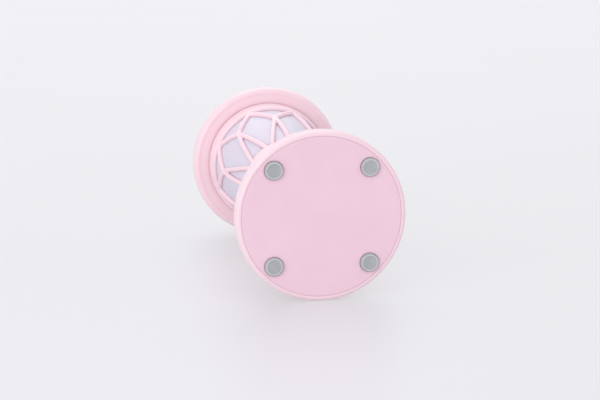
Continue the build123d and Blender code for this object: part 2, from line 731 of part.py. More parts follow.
with BuildPart() as power_button:
    with BuildSketch(Plane.XZ.offset(BUTTON_SEAT)):
        with Locations((0, BUTTON_Z)):
            Circle(BUTTON_R)
    extrude(amount=4.4)
    fillet(power_button.edges().group_by(Axis.Y)[0], radius=1.0)
    with BuildSketch(Plane.XZ.offset(BUTTON_SEAT)):
        with Locations((0, BUTTON_Z)):
            Circle(BUTTON_R + 1.2)
    extrude(amount=-1.2)
    # plunger that reaches the switch
    with BuildSketch(Plane.XZ.offset(BUTTON_SEAT)):
        with Locations((0, BUTTON_Z)):
            Circle(1.8)
    extrude(amount=-(BUTTON_SEAT + BOARD_Y - SWITCH_T - BUTTON_TRAVEL - 0.1))
power_button.part.label = "power_button"
export_step(power_button.part, "parts/power_button.step")

with BuildPart() as status_lens:
    with BuildSketch(Plane.XZ.offset(33.5)):
        with Locations((0, BUTTON_Z + 15)):
            Circle(1.6)
    extrude(amount=3.4)
status_lens.part.label = "status_lens"
export_step(status_lens.part, "parts/status_lens.step")

# ---------------------------------------------------------------- cage
def lattice_point(ring, step):
    """Crossing number step, in half pitches, of one ring of the lattice, in the middle of a rib."""
    z = LATTICE_Z[ring]
    x, y = polar(bowl_radius(RIB_DEPTH / 2, z), step * 180 / LATTICE_SIDES)
    return Vector(x, y, z)


with BuildPart() as cage:
    # straight slabs along every rib, cut afterwards to the cage's curved wall
    for ring in (0, 1):
        for step in range(1 - ring, 2 * LATTICE_SIDES, 2):
            for side in (-1, 1):
                start = lattice_point(ring, step)
                finish = lattice_point(ring + 1, step + side)
                middle = (start + finish) / 2
                outward = Vector(middle.X, middle.Y, 0).normalized()
                along = (finish - start).normalized()
                slab = Plane(origin=middle, x_dir=along, z_dir=along.cross(outward))
                with BuildSketch(slab):
                    Rectangle((finish - start).length + 2.0, 16.0)
                extrude(amount=RIB_WIDTH / 2, both=True)
    with BuildSketch(Plane.XZ):
        with BuildLine():
            bowl_arc(0, LATTICE_Z[0] - 3, CAGE_TOP_Z)
            bowl_arc(RIB_DEPTH, CAGE_TOP_Z, LATTICE_Z[0] - 3)
            for z in (LATTICE_Z[0] - 3, CAGE_TOP_Z):
                Line((bowl_radius(0, z), z), (bowl_radius(RIB_DEPTH, z), z))
        make_face()
    revolve(axis=Axis.Z, mode=Mode.INTERSECT)
    # the plain band above the lattice
    with BuildSketch(Plane.XZ):
        with BuildLine():
            bowl_arc(0, BAND_Z, CAGE_TOP_Z)
            Polyline(
                (CAGE_TOP_R, CAGE_TOP_Z),
                (CAGE_TOP_R, CAGE_EDGE_Z),
                (CAGE_TOP_R - RIB_DEPTH, CAGE_EDGE_Z),
                (CAGE_TOP_R - RIB_DEPTH, CAGE_TOP_Z),
            )
            bowl_arc(RIB_DEPTH, CAGE_TOP_Z, BAND_Z)
            Line((bowl_radius(RIB_DEPTH, BAND_Z), BAND_Z), (bowl_radius(0, BAND_Z), BAND_Z))
        make_face()
    revolve(axis=Axis.Z)
    # the collar round the bowl's foot, and the floor it is screwed down by
    with BuildSketch(Plane.XZ):
        with BuildLine():
            Polyline(
                (12.0, PEDESTAL_TOP_Z + 3),
                (HEAD_R, PEDESTAL_TOP_Z + 3),
                (HEAD_R + 1.0, PEDESTAL_TOP_Z + 3.6),
                (COLLAR_R, COLLAR_TOP_Z - 1),
                (COLLAR_R, COLLAR_TOP_Z),
                (COLLAR_IN_R, COLLAR_TOP_Z),
                (25.6, 155.0),
                (24.6, PEDESTAL_TOP_Z + 5.2),
                (12.0, PEDESTAL_TOP_Z + 5.2),
                close=True,
            )
        make_face()
    revolve(axis=Axis.Z)
    with BuildSketch(Plane.XY.offset(PEDESTAL_TOP_Z + 3)):
        with PolarLocations(*CAGE_SCREWS):
            Circle(SCREW_R)
    extrude(amount=2.2, mode=Mode.SUBTRACT)
cage.part.label = "cage"
export_step(cage.part, "parts/cage.step")

with BuildPart() as cage_screws:
    with BuildSketch(Plane.XY.offset(PEDESTAL_TOP_Z + 5.2)):
        with PolarLocations(*CAGE_SCREWS):
            Circle(SCREW_HEAD_R)
    extrude(amount=SCREW_HEAD_H)
    with BuildSketch(Plane.XY.offset(PEDESTAL_TOP_Z + 5.2)):
        with PolarLocations(*CAGE_SCREWS):
            Circle(SCREW_R)
    extrude(amount=-9.0)
cage_screws.part.label = "cage_screws"
export_step(cage_screws.part, "parts/cage_screws.step")

# ---------------------------------------------------------------- bowl and its drive
with BuildPart() as drive_shaft:
    with BuildSketch(Plane.XY.offset(SEAT_Z)):
        Circle(SHAFT_R)
    extrude(amount=151.5)
    chamfer(drive_shaft.edges().group_by(Axis.Z)[-1], length=0.6)
drive_shaft.part.label = "drive_shaft"
export_step(drive_shaft.part, "parts/drive_shaft.step")

DOG_FLAT = 14.0
with BuildPart() as drive_dog:
    with BuildSketch(Plane.XY.offset(PEDESTAL_TOP_Z + 4.2)):
        RegularPolygon(DOG_FLAT / 2, 6, major_radius=False)
    extrude(amount=5.4)
    with BuildSketch(Plane.XY.offset(PEDESTAL_TOP_Z + 4.2)):
        Circle(SHAFT_R)
    extrude(amount=4.5, mode=Mode.SUBTRACT)
drive_dog.part.label = "drive_dog"
export_step(drive_dog.part, "parts/drive_dog.step")

SOCKET_BOTTOM_Z = PEDESTAL_TOP_Z + 5.4
with BuildPart() as bowl_socket:
    with BuildSketch(Plane.XY.offset(SOCKET_BOTTOM_Z)):
        Circle(11.4)
    extrude(amount=BOWL_BOTTOM_Z - SOCKET_BOTTOM_Z)
    with BuildSketch(Plane.XY.offset(SOCKET_BOTTOM_Z)):
        RegularPolygon(DOG_FLAT / 2, 6, major_radius=False)
    extrude(amount=PEDESTAL_TOP_Z + 9.6 - SOCKET_BOTTOM_Z, mode=Mode.SUBTRACT)
bowl_socket.part.label = "bowl_socket"
export_step(bowl_socket.part, "parts/bowl_socket.step")

SHELL_IN = BOWL_INSET + SHELL_T
GEL_IN = SHELL_IN + GEL_T
LINER_IN = GEL_IN + LINER_T
SHELL_FLOOR_Z = BOWL_BOTTOM_Z + SHELL_T
GEL_FLOOR_Z = SHELL_FLOOR_Z + 6.0
LINER_FLOOR_Z = GEL_FLOOR_Z + LINER_T
CELLAR_TOP_Z = BOWL_RIM_Z - 3.0
with BuildPart() as bowl_shell:
    with BuildSketch(Plane.XZ):
        with BuildLine():
            closed_layer(BOWL_INSET, SHELL_IN, BOWL_BOTTOM_Z, SHELL_FLOOR_Z, CELLAR_TOP_Z)
        make_face()
    revolve(axis=Axis.Z)
    fillet(bowl_shell.edges().group_by(Axis.Z)[0], radius=2.0)
    with BuildSketch(Plane.XZ):
        with BuildLine():
            bowl_arc(BOWL_INSET + BOWL_STEP, BOWL_BOTTOM_Z + WALL, BOWL_STEP_Z)
            Polyline(
                (bowl_radius(BOWL_INSET + BOWL_STEP, BOWL_STEP_Z), BOWL_STEP_Z),
                (CAGE_TOP_R, BOWL_STEP_Z),
                (CAGE_TOP_R, BOWL_BOTTOM_Z + WALL),
                (bowl_radius(BOWL_INSET + BOWL_STEP, BOWL_BOTTOM_Z + WALL), BOWL_BOTTOM_Z + WALL),
            )
        make_face()
    revolve(axis=Axis.Z, mode=Mode.SUBTRACT)
bowl_shell.part.label = "bowl_shell"
export_step(bowl_shell.part, "parts/bowl_shell.step")

with BuildPart() as coolant_gel:
    with BuildSketch(Plane.XZ):
        with BuildLine():
            closed_layer(SHELL_IN, GEL_IN, SHELL_FLOOR_Z, GEL_FLOOR_Z, CELLAR_TOP_Z)
        make_face()
    revolve(axis=Axis.Z)
coolant_gel.part.label = "coolant_gel"
export_step(coolant_gel.part, "parts/coolant_gel.step")

with BuildPart() as bowl_liner:
    with BuildSketch(Plane.XZ):
        with BuildLine():
            closed_layer(GEL_IN, LINER_IN, GEL_FLOOR_Z, LINER_FLOOR_Z, CELLAR_TOP_Z)
        make_face()
    revolve(axis=Axis.Z)
bowl_liner.part.label = "bowl_liner"
export_step(bowl_liner.part, "parts/bowl_liner.step")

with BuildPart() as bowl_rim:
    with BuildSketch(Plane.XZ):
        with BuildLine():
            Polyline(
                (bowl_radius(LINER_IN, CELLAR_TOP_Z), CELLAR_TOP_Z),
                (bowl_radius(BOWL_INSET, CELLAR_TOP_Z), CELLAR_TOP_Z),
                (bowl_radius(BOWL_INSET, CELLAR_TOP_Z), BOWL_RIM_Z),
                (bowl_radius(LINER_IN, CELLAR_TOP_Z), BOWL_RIM_Z),
                close=True,
            )
        make_face()
    revolve(axis=Axis.Z)
    fillet(bowl_rim.edges().group_by(Axis.Z)[-1], radius=1.0)
bowl_rim.part.label = "bowl_rim"
export_step(bowl_rim.part, "parts/bowl_rim.step")

# ---------------------------------------------------------------- rim
with BuildPart() as rim_ring:
    with BuildSketch(Plane.XZ):
        with BuildLine():
            Line((CAGE_TOP_R, CAGE_EDGE_Z), (CAGE_TOP_R, 231.2))
            EllipticalCenterArc((52.6, 231.2), 1.6, 231.2 - RIM_UNDER_Z, 180, arc_size=90)
            Line((52.6, RIM_UNDER_Z), (55.4, RIM_UNDER_Z))
            ThreePointArc((55.4, RIM_UNDER_Z), (57.5, RIM_UNDER_Z + 0.6), (59.6, RIM_UNDER_Z))
            EllipticalCenterArc(
                (59.6, RIM_WIDEST_Z), RIM_R - 59.6, RIM_WIDEST_Z - RIM_UNDER_Z, 270, arc_size=90
            )
            EllipticalCenterArc((RIM_BOX_R, RIM_WIDEST_Z), RIM_R - RIM_BOX_R, 9.4, 0, arc_size=90)
            Polyline(
                (RIM_BOX_R, 244.8),
                (RIM_BOX_R, 241.5),
                (61.4, 238.5),
                (61.6, RIM_WIDEST_Z),
                (60.9, 233.4),
                (59.6, 232.2),
                (CAGE_TOP_R + 2.2, 232.2),
                (CAGE_TOP_R + 2.2, CAGE_EDGE_Z),
                (CAGE_TOP_R, CAGE_EDGE_Z),
            )
        make_face()
    revolve(axis=Axis.Z)
rim_ring.part.label = "rim_ring"
export_step(rim_ring.part, "parts/rim_ring.step")

LEDGE_Z = 240.5
with BuildPart() as rim_top:
    with BuildSketch(Plane.XZ):
        with BuildLine():
            Polyline(
                (46.4, CAGE_EDGE_Z),
                (RIM_BOX_R - 0.2, CAGE_EDGE_Z),
                (RIM_BOX_R - 0.2, 244.8),
                (RIM_BOX_R - 2.0, RIM_TOP_Z),
                (53.6, RIM_TOP_Z),
                (52.6, 244.0),
                (52.6, LEDGE_Z),
                (46.4, LEDGE_Z),
                close=True,
            )
        make_face()
    revolve(axis=Axis.Z)
rim_top.part.label = "rim_top"
export_step(rim_top.part, "parts/rim_top.step")

# ---------------------------------------------------------------- lid
FLANGE_Z = LEDGE_Z + 0.8
SHOULDER_R = 7.0  # rounding of the lid's top edge
LID_WALL_IN = LID_R - WALL
SHOULDER_Z = LID_TOP_Z - SHOULDER_R
LID_FLAT_R = LID_R - SHOULDER_R
STEM_R = 5.0
HUB_R = 8.0
KNUCKLE_HALF = 6.0
LUG_T = 2.5
PIN_R = 1.2
with BuildPart() as lid_shell:
    with BuildSketch(Plane.XZ):
        with BuildLine():
            Polyline((0, LID_TOP_Z - WALL), (0, LID_TOP_Z), (LID_FLAT_R, LID_TOP_Z))
            RadiusArc((LID_FLAT_R, LID_TOP_Z), (LID_R, SHOULDER_Z), SHOULDER_R)
            Polyline(
                (LID_R, SHOULDER_Z),
                (LID_R, 244.4),
                (52.2, 244.0),
                (52.2, FLANGE_Z),
                (45.8, FLANGE_Z),
                (45.8, 237.2),
                (43.8, 237.2),
                (43.8, 243.5),
                (LID_WALL_IN, 246.0),
                (LID_WALL_IN, SHOULDER_Z),
            )
            RadiusArc((LID_WALL_IN, SHOULDER_Z), (LID_FLAT_R, LID_TOP_Z - WALL), WALL - SHOULDER_R)
            Line((LID_FLAT_R, LID_TOP_Z - WALL), (0, LID_TOP_Z - WALL))
        make_face()
    revolve(axis=Axis.Z)
    # hub that holds the paddle's stem
    with BuildSketch(Plane.XY.offset(LID_TOP_Z - WALL)):
        Circle(HUB_R)
        Circle(STEM_R, mode=Mode.SUBTRACT)
    extrude(amount=-9.0)
    # filler opening with a collar under it
    with BuildSketch(Plane.XY.offset(LID_TOP_Z - WALL)):
        with Locations((0, FILLER_Y)):
            Circle(FILLER_R + FILLER_COLLAR_T)
    extrude(amount=-2.0)
    with BuildSketch(Plane.XY.offset(LID_TOP_Z)):
        with Locations((0, FILLER_Y)):
            Circle(FILLER_R)
    extrude(amount=-5.0, mode=Mode.SUBTRACT)
    # lugs for the filler cap's hinge pin
    for side in (-1, 1):
        with BuildSketch(Plane.YZ.offset(side * (KNUCKLE_HALF + GAP + LUG_T / 2))):
            with Locations((HINGE_Y, (LID_TOP_Z + HINGE_Z) / 2)):
                Rectangle(4.8, HINGE_Z - LID_TOP_Z)
            with Locations((HINGE_Y, HINGE_Z)):
                Circle(2.4)
                Circle(PIN_R, mode=Mode.SUBTRACT)
        extrude(amount=LUG_T / 2, both=True)
    # screw hole under the knob
    with BuildSketch(Plane.XY.offset(LID_TOP_Z)):
        Circle(SCREW_R)
    extrude(amount=-WALL, mode=Mode.SUBTRACT)
lid_shell.part.label = "lid_shell"
export_step(lid_shell.part, "parts/lid_shell.step")

with BuildPart() as lid_seal:
    with BuildSketch(Plane.XY.offset(LEDGE_Z)):
        Circle(51.4)
        Circle(47.2, mode=Mode.SUBTRACT)
    extrude(amount=FLANGE_Z - LEDGE_Z)
lid_seal.part.label = "lid_seal"
export_step(lid_seal.part, "parts/lid_seal.step")

with BuildPart() as lid_knob:
    with BuildSketch(Plane.XZ):
        with BuildLine():
            Polyline((0, LID_TOP_Z), (8.0, LID_TOP_Z))
            ThreePointArc((8.0, LID_TOP_Z), (6.6, 264.0), (8.6, 267.6))
            ThreePointArc((8.6, 267.6), (8.2, 271.0), (5.0, 272.0))
            Polyline((5.0, 272.0), (0, 272.0), (0, LID_TOP_Z))
        make_face()
    revolve(axis=Axis.Z)
    with BuildSketch(Plane.XY.offset(LID_TOP_Z)):
        Circle(SCREW_R)
    extrude(amount=6.0, mode=Mode.SUBTRACT)
lid_knob.part.label = "lid_knob"
export_step(lid_knob.part, "parts/lid_knob.step")

PADDLE_TOP_Z = LID_TOP_Z - WALL
with BuildPart() as knob_screw:
    with BuildSketch(Plane.XY.offset(PADDLE_TOP_Z - 8.0)):
        Circle(SCREW_R)
    extrude(amount=8.0 + WALL + 6.0)
knob_screw.part.label = "knob_screw"
export_step(knob_screw.part, "parts/knob_screw.step")

# ---------------------------------------------------------------- paddle
PADDLE_CLEARANCE = 1.6
PADDLE_IN = LINER_IN + PADDLE_CLEARANCE
PADDLE_Z = (LINER_FLOOR_Z + PADDLE_CLEARANCE, 226.0)
BLADE_T = 3.0
BLADE_W = 6.0
with BuildPart() as paddle:
    with BuildSketch(Plane.XZ):
        with BuildLine():
            bowl_arc(PADDLE_IN, *PADDLE_Z)
            Polyline(
                (bowl_radius(PADDLE_IN, PADDLE_Z[1]), PADDLE_Z[1]),
                (bowl_radius(PADDLE_IN + BLADE_W, PADDLE_Z[1]), PADDLE_Z[1]),
            )
            bowl_arc(PADDLE_IN + BLADE_W, PADDLE_Z[1], PADDLE_Z[0] + BLADE_W)
            Polyline(
                (bowl_radius(PADDLE_IN + BLADE_W, PADDLE_Z[0] + BLADE_W), PADDLE_Z[0] + BLADE_W),
                (0, PADDLE_Z[0] + BLADE_W),
                (0, PADDLE_Z[0]),
                (bowl_radius(PADDLE_IN, PADDLE_Z[0]), PADDLE_Z[0]),
            )
        make_face()
        # the two ribs that tie the scraper to the stem
        for z in (190.0, 210.0):
            reach = bowl_radius(PADDLE_IN + BLADE_W / 2, z)
            with Locations((reach / 2, z)):
                Rectangle(reach, 5.0)
        mirror(about=Plane.YZ)
    extrude(amount=BLADE_T / 2, both=True)
    with BuildSketch(Plane.XY.offset(PADDLE_Z[0])):
        Circle(STEM_R)
    extrude(amount=PADDLE_TOP_Z - PADDLE_Z[0])
    with BuildSketch(Plane.XY.offset(PADDLE_TOP_Z)):
        Circle(SCREW_R)
    extrude(amount=-8.0, mode=Mode.SUBTRACT)
paddle.part.label = "paddle"
export_step(paddle.part, "parts/paddle.step")

# ---------------------------------------------------------------- filler cap
CAP_R = 14.0
CAP_PLUG_R = FILLER_R - 0.6
CAP_BOTTOM_Z = LID_TOP_Z + GAP
with BuildPart() as filler_cap:
    with BuildSketch(Plane.XY.offset(CAP_BOTTOM_Z)):
        with Locations((0, FILLER_Y)):
            Circle(CAP_R)
    extrude(amount=HINGE_Z - CAP_BOTTOM_Z - 0.5)
    fillet(filler_cap.edges().group_by(Axis.Z)[-1], radius=0.6)
    # finger tab at the front, tongue to the hinge at the back
    with BuildSketch(Plane.XY.offset(CAP_BOTTOM_Z)):
        with Locations((0, FILLER_Y - CAP_R)):
            SlotOverall(12.0, 5.0)
        with Locations((0, HINGE_Y - 3.4)):
            Rectangle(2 * KNUCKLE_HALF, 5.4)
    extrude(amount=1.5)
    with BuildSketch(Plane.XY.offset(CAP_BOTTOM_Z)):
        with Locations((0, FILLER_Y)):
            Circle(CAP_PLUG_R)
            Circle(CAP_PLUG_R - 1.6, mode=Mode.SUBTRACT)
    extrude(amount=-2.5)
    with BuildSketch(Plane.YZ):
        with Locations((HINGE_Y, HINGE_Z)):
            Circle(2.2)
    extrude(amount=KNUCKLE_HALF, both=True)
    with BuildSketch(Plane.YZ):
        with Locations((HINGE_Y, HINGE_Z)):
            Circle(PIN_R + RUNNING)
    extrude(amount=KNUCKLE_HALF, both=True, mode=Mode.SUBTRACT)
filler_cap.part.label = "filler_cap"
export_step(filler_cap.part, "parts/filler_cap.step")

with BuildPart() as hinge_pin:
    with BuildSketch(Plane.YZ):
        with Locations((HINGE_Y, HINGE_Z)):
            Circle(PIN_R)
    extrude(amount=KNUCKLE_HALF + GAP + LUG_T, both=True)
hinge_pin.part.label = "hinge_pin"
export_step(hinge_pin.part, "parts/hinge_pin.step")
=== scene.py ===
"""Looks of the personal ice cream maker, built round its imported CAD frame.

Profiles are (radius, height) in millimetres, in the frame's own axes: +Z up, the turning axis on Z.
"""

import json
from math import atan2, cos, exp, hypot, log, pi, radians, sin, sqrt

import bmesh
import bpy
from mathutils import Matrix, Vector


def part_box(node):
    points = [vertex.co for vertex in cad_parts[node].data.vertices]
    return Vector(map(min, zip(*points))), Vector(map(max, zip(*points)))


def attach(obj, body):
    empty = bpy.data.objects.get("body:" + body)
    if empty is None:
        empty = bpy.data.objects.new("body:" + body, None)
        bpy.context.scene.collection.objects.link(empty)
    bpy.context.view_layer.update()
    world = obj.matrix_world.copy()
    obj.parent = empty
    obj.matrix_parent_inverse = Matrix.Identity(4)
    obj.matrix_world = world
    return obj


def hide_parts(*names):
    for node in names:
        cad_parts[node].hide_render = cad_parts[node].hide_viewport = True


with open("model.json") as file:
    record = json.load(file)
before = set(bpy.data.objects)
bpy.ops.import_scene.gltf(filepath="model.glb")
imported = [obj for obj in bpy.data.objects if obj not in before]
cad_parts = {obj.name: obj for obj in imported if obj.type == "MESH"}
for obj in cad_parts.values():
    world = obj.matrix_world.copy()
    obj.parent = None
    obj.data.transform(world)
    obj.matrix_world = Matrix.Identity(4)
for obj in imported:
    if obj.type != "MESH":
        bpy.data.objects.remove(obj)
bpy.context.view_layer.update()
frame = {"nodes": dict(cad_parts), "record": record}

MM = 0.001
TURN = 2 * pi

# ---------------------------------------------------------------- sizes, from the frame
BASE_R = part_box("base_housing")[1].x / MM
FOOT_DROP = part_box("base_plate")[0].z / MM
RIM_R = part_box("rim_ring")[1].x / MM
RIM_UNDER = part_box("rim_ring")[0].z / MM
CAGE_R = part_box("cage")[1].x / MM
CAGE_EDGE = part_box("cage")[1].z / MM
CAGE_TOP = 230.0  # height where the cage's wall stands upright
ARC_R = 123.5  # radius of the arc that the cage and the bowl are turned from
BOWL_INSET = 2.9
RIB_DEPTH = 2.2
RIB_BACK = 2.88  # the ribs' inner face all but touches the bowl
RIB_HALF = 1.95
SIDES = 8  # crossings in each ring of the lattice
LATTICE_Z = (155.9, 194.3, 211.8)
BAND_Z = 213.6
COLLAR_Z = 160.5


def wall_radius(z, inset=0.0):
    """Radius of the surface that lies inset mm inside the ribs' outside."""
    if z >= CAGE_TOP:
        return CAGE_R - inset
    return sqrt((ARC_R - inset) ** 2 - (z - CAGE_TOP) ** 2) - (ARC_R - CAGE_R)


# ---------------------------------------------------------------- mesh helpers
def new_object(name, vertices, faces, material, body, smooth=True):
    """A mesh object from points in millimetres, riding on a CAD body."""
    mesh = bpy.data.meshes.new(name)
    mesh.from_pydata([(x * MM, y * MM, z * MM) for x, y, z in vertices], [], faces)
    mesh.validate()
    work = bmesh.new()
    work.from_mesh(mesh)
    bmesh.ops.remove_doubles(work, verts=work.verts, dist=1e-7)
    bmesh.ops.recalc_face_normals(work, faces=work.faces)
    work.to_mesh(mesh)
    work.free()
    mesh.polygons.foreach_set("use_smooth", [smooth] * len(mesh.polygons))
    obj = bpy.data.objects.new(name, mesh)
    bpy.context.scene.collection.objects.link(obj)
    mesh.materials.append(material)
    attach(obj, body)
    return obj


def weigh_normals(obj):
    """Keeps flat faces flat in the shading beside their small roundings."""
    weighted = obj.modifiers.new("weighted", "WEIGHTED_NORMAL")
    weighted.weight = 100
    weighted.keep_sharp = True


def rounded(corners, steps=5):
    """A closed or open line of (r, z, rounding) corners, with each corner turned into an arc."""
    points = []
    last = len(corners) - 1
    for index, corner in enumerate(corners):
        r, z = corner[0], corner[1]
        radius = corner[2] if len(corner) > 2 else 0
        if not radius or index in (0, last):
            points.append((r, z))
            continue
        here = Vector((r, z))
        back = Vector(corners[index - 1][:2]) - here
        ahead = Vector(corners[index + 1][:2]) - here
        half = back.angle(ahead) / 2
        reach = min(radius / max(sin(half) / cos(half), 1e-6), back.length * 0.49, ahead.length * 0.49)
        start, end = here + back.normalized() * reach, here + ahead.normalized() * reach
        for k in range(steps + 1):
            t = k / steps
            points.append(tuple(start.lerp(here, t).lerp(here.lerp(end, t), t)))
    return points


def oval(centre, radii, start, end, steps=12):
    """Points of an elliptical arc between two angles in degrees."""
    turn = [radians(start + (end - start) * k / steps) for k in range(steps + 1)]
    return [(centre[0] + radii[0] * cos(a), centre[1] + radii[1] * sin(a)) for a in turn]


def lathe(name, profile, material, body, closed=True, steps=256):
    """Turns a profile round the Z axis. An open profile starts and ends on the axis."""
    count = len(profile)
    vertices, faces = [], []
    for k in range(steps):
        a = TURN * k / steps
        vertices += [(r * cos(a), r * sin(a), z) for r, z in profile]
    for k in range(steps):
        here, there = k * count, (k + 1) % steps * count
        for i in range(count if closed else count - 1):
            j = (i + 1) % count
            faces.append((here + i, there + i, there + j, here + j))
    obj = new_object(name, vertices, faces, material, body)
    weigh_normals(obj)
    return obj


# ---------------------------------------------------------------- node helpers
class Nodes:
    """A material's node tree, with short calls for what the plastics, rubbers and metals share."""

    def __init__(self, name):
        self.material = bpy.data.materials.new(name)
        self.material.use_nodes = True
        self.tree = self.material.node_tree
        self.shader = self.tree.nodes["Principled BSDF"]
        self.place = self.tree.nodes.new("ShaderNodeTexCoord").outputs["Object"]

    def add(self, kind, **settings):
        node = self.tree.nodes.new(kind)
        for key, value in settings.items():
            setattr(node, key, value)
        return node

    def link(self, start, end):
        self.tree.links.new(start, end)

    def noise(self, scale, detail=3.0, roughness=0.5, stretch=None):
        node = self.add("ShaderNodeTexNoise")
        node.inputs["Scale"].default_value = scale
        node.inputs["Detail"].default_value = detail
        node.inputs["Roughness"].default_value = roughness
        start = self.place
        if stretch:
            mapping = self.add("ShaderNodeMapping")
            mapping.inputs["Scale"].default_value = stretch
            self.link(start, mapping.inputs["Vector"])
            start = mapping.outputs["Vector"]
        self.link(start, node.inputs["Vector"])
        return node.outputs["Fac"]

    def ramp(self, factor, stops):
        node = self.add("ShaderNodeValToRGB")
        ramp = node.color_ramp
        while len(ramp.elements) < len(stops):
            ramp.elements.new(0.5)
        for element, (position, colour) in zip(ramp.elements, stops):
            element.position = position
            element.color = (*colour, 1)
        self.link(factor, node.inputs["Fac"])
        return node.outputs["Color"]

    def span(self, factor, low, high):
        node = self.add("ShaderNodeMapRange")
        node.inputs["From Min"].default_value = 0.3
        node.inputs["From Max"].default_value = 0.7
        node.inputs["To Min"].default_value = low
        node.inputs["To Max"].default_value = high
        self.link(factor, node.inputs["Value"])
        return node.outputs["Result"]

    def bump(self, height, distance, strength=0.5, after=None):
        node = self.add("ShaderNodeBump")
        node.inputs["Distance"].default_value = distance
        node.inputs["Strength"].default_value = strength
        self.link(height, node.inputs["Height"])
        if after:
            self.link(after, node.inputs["Normal"])
        return node.outputs["Normal"]

    def set(self, **values):
        for key, value in values.items():
            self.shader.inputs[key.replace("_", " ")].default_value = value


def linear(red, green, blue):
    """Linear colour from 0-255 display values."""
    shares = [c / 255 for c in (red, green, blue)]
    return tuple(c / 12.92 if c <= 0.04045 else ((c + 0.055) / 1.055) ** 2.4 for c in shares)


def tint(colour, amount):
    """A colour made lighter or darker."""
    return tuple(min(1.0, c * amount) for c in colour)


def moulded(name, colour, roughness=0.32, coat=0.25, grain=0.02, soft=0.08):
    """Injection-moulded plastic: cloudy pigment, a fine mould grain and slow ripples of sink."""
    n = Nodes(name)
    cloud = n.ramp(n.noise(28, 4, 0.6), [(0.3, tint(colour, 0.972)), (0.7, tint(colour, 1.018))])
    n.link(cloud, n.shader.inputs["Base Color"])
    n.link(n.span(n.noise(160, 3), roughness * 0.88, roughness * 1.15), n.shader.inputs["Roughness"])
    ripple = n.bump(n.noise(22, 1), 0.00012, 0.35)
    n.link(n.bump(n.noise(1500, 2), grain * MM, 0.5, ripple), n.shader.inputs["Normal"])
    n.set(Coat_Weight=coat, Coat_Roughness=0.18, IOR=1.49)
    n.set(Subsurface_Weight=soft, Subsurface_Radius=(0.9, 0.45, 0.5), Subsurface_Scale=0.002)
    return n.material


def rubber(name, colour):
    """Matt silicone: dusty, with a fine grain."""
    n = Nodes(name)
    dust = n.ramp(n.noise(90, 5, 0.65), [(0.3, tint(colour, 0.9)), (0.72, tint(colour, 1.12))])
    n.link(dust, n.shader.inputs["Base Color"])
    n.link(n.span(n.noise(260, 3), 0.55, 0.72), n.shader.inputs["Roughness"])
    n.link(n.bump(n.noise(2200, 2), 0.00003, 0.6), n.shader.inputs["Normal"])
    n.set(Sheen_Weight=0.15, Sheen_Roughness=0.4, IOR=1.43)
    return n.material


def metal(name, colour, roughness=0.28, stretch=(1, 1, 14)):
    """Turned or drawn metal: fine lines along one direction."""
    n = Nodes(name)
    lines = n.noise(700, 4, 0.6, stretch)
    shade = n.ramp(lines, [(0.25, tint(colour, 0.88)), (0.75, tint(colour, 1.06))])
    n.link(shade, n.shader.inputs["Base Color"])
    n.link(n.span(lines, roughness * 0.75, roughness * 1.3), n.shader.inputs["Roughness"])
    n.link(n.bump(lines, 0.00002, 0.4), n.shader.inputs["Normal"])
    n.set(Metallic=1.0)
    return n.material


BLUSH = linear(243, 213, 222)
PINK = moulded("blush_plastic", BLUSH)
PLATE_PINK = moulded("blush_satin", linear(238, 202, 217), 0.42, 0.1, 0.03)
WHITE = moulded("white_plastic", linear(232, 228, 240), 0.36, 0.2, 0.02, 0.2)
LAVENDER = moulded("bowl_plastic", linear(216, 208, 222), 0.4, 0.15, 0.02, 0.2)
GREY_RUBBER = rubber("grey_rubber", linear(168, 170, 172))
# a paler copy of the grey rubber, used only as a painted highlight on the feet's tread ring
PAINTED_HIGHLIGHT_RUBBER = rubber("rubber_painted_highlight", linear(192, 192, 195))

STEEL = metal("steel", (0.62, 0.62, 0.64))
ALUMINIUM = metal("bare_aluminium", (0.80, 0.81, 0.82), 0.3, (1, 1, 20))
BRASS = metal("brass", (0.80, 0.62, 0.30))
GREY_PLASTIC = moulded("grey_plastic", (0.35, 0.36, 0.38), 0.5, 0)
DARK_PLASTIC = moulded("dark_plastic", (0.03, 0.03, 0.035), 0.45, 0)
NYLON = moulded("nylon", (0.80, 0.77, 0.68), 0.4, 0, 0.02, 0.15)
GEL = moulded("coolant", (0.50, 0.72, 0.88), 0.3, 0)
SOLDER_MASK = moulded("circuit_board", (0.02, 0.16, 0.08), 0.35, 0.4)
LENS = moulded("lamp_lens", (0.78, 0.92, 0.84), 0.25, 0.4, 0.01, 0.3)
SLEEVE = moulded("cell_sleeve", (0.10, 0.30, 0.42), 0.3, 0.4)
BY_SLOT = {
    "blush_plastic": PINK,
    "blush_satin": PLATE_PINK,
    "white_plastic": WHITE,
    "grey_rubber": GREY_RUBBER,
    "steel": STEEL,
    "bare_aluminium": ALUMINIUM,
    "brass": BRASS,
    "grey_plastic": GREY_PLASTIC,
    "dark_plastic": DARK_PLASTIC,
    "nylon": NYLON,
    "coolant": GEL,
    "circuit_board": SOLDER_MASK,
    "lamp_lens": LENS,
    "cell_sleeve": SLEEVE,
}
for subpart in frame["record"]["subparts"]:
    node = frame["nodes"][subpart["node"]]
    node.data.materials.clear()
    node.data.materials.append(BY_SLOT[subpart["material_slot"]])


def stand_for(obj, slot, *nodes):
    """The piece replaces these CAD nodes, which it hides; the slot is not used."""
    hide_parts(*nodes)
    return obj


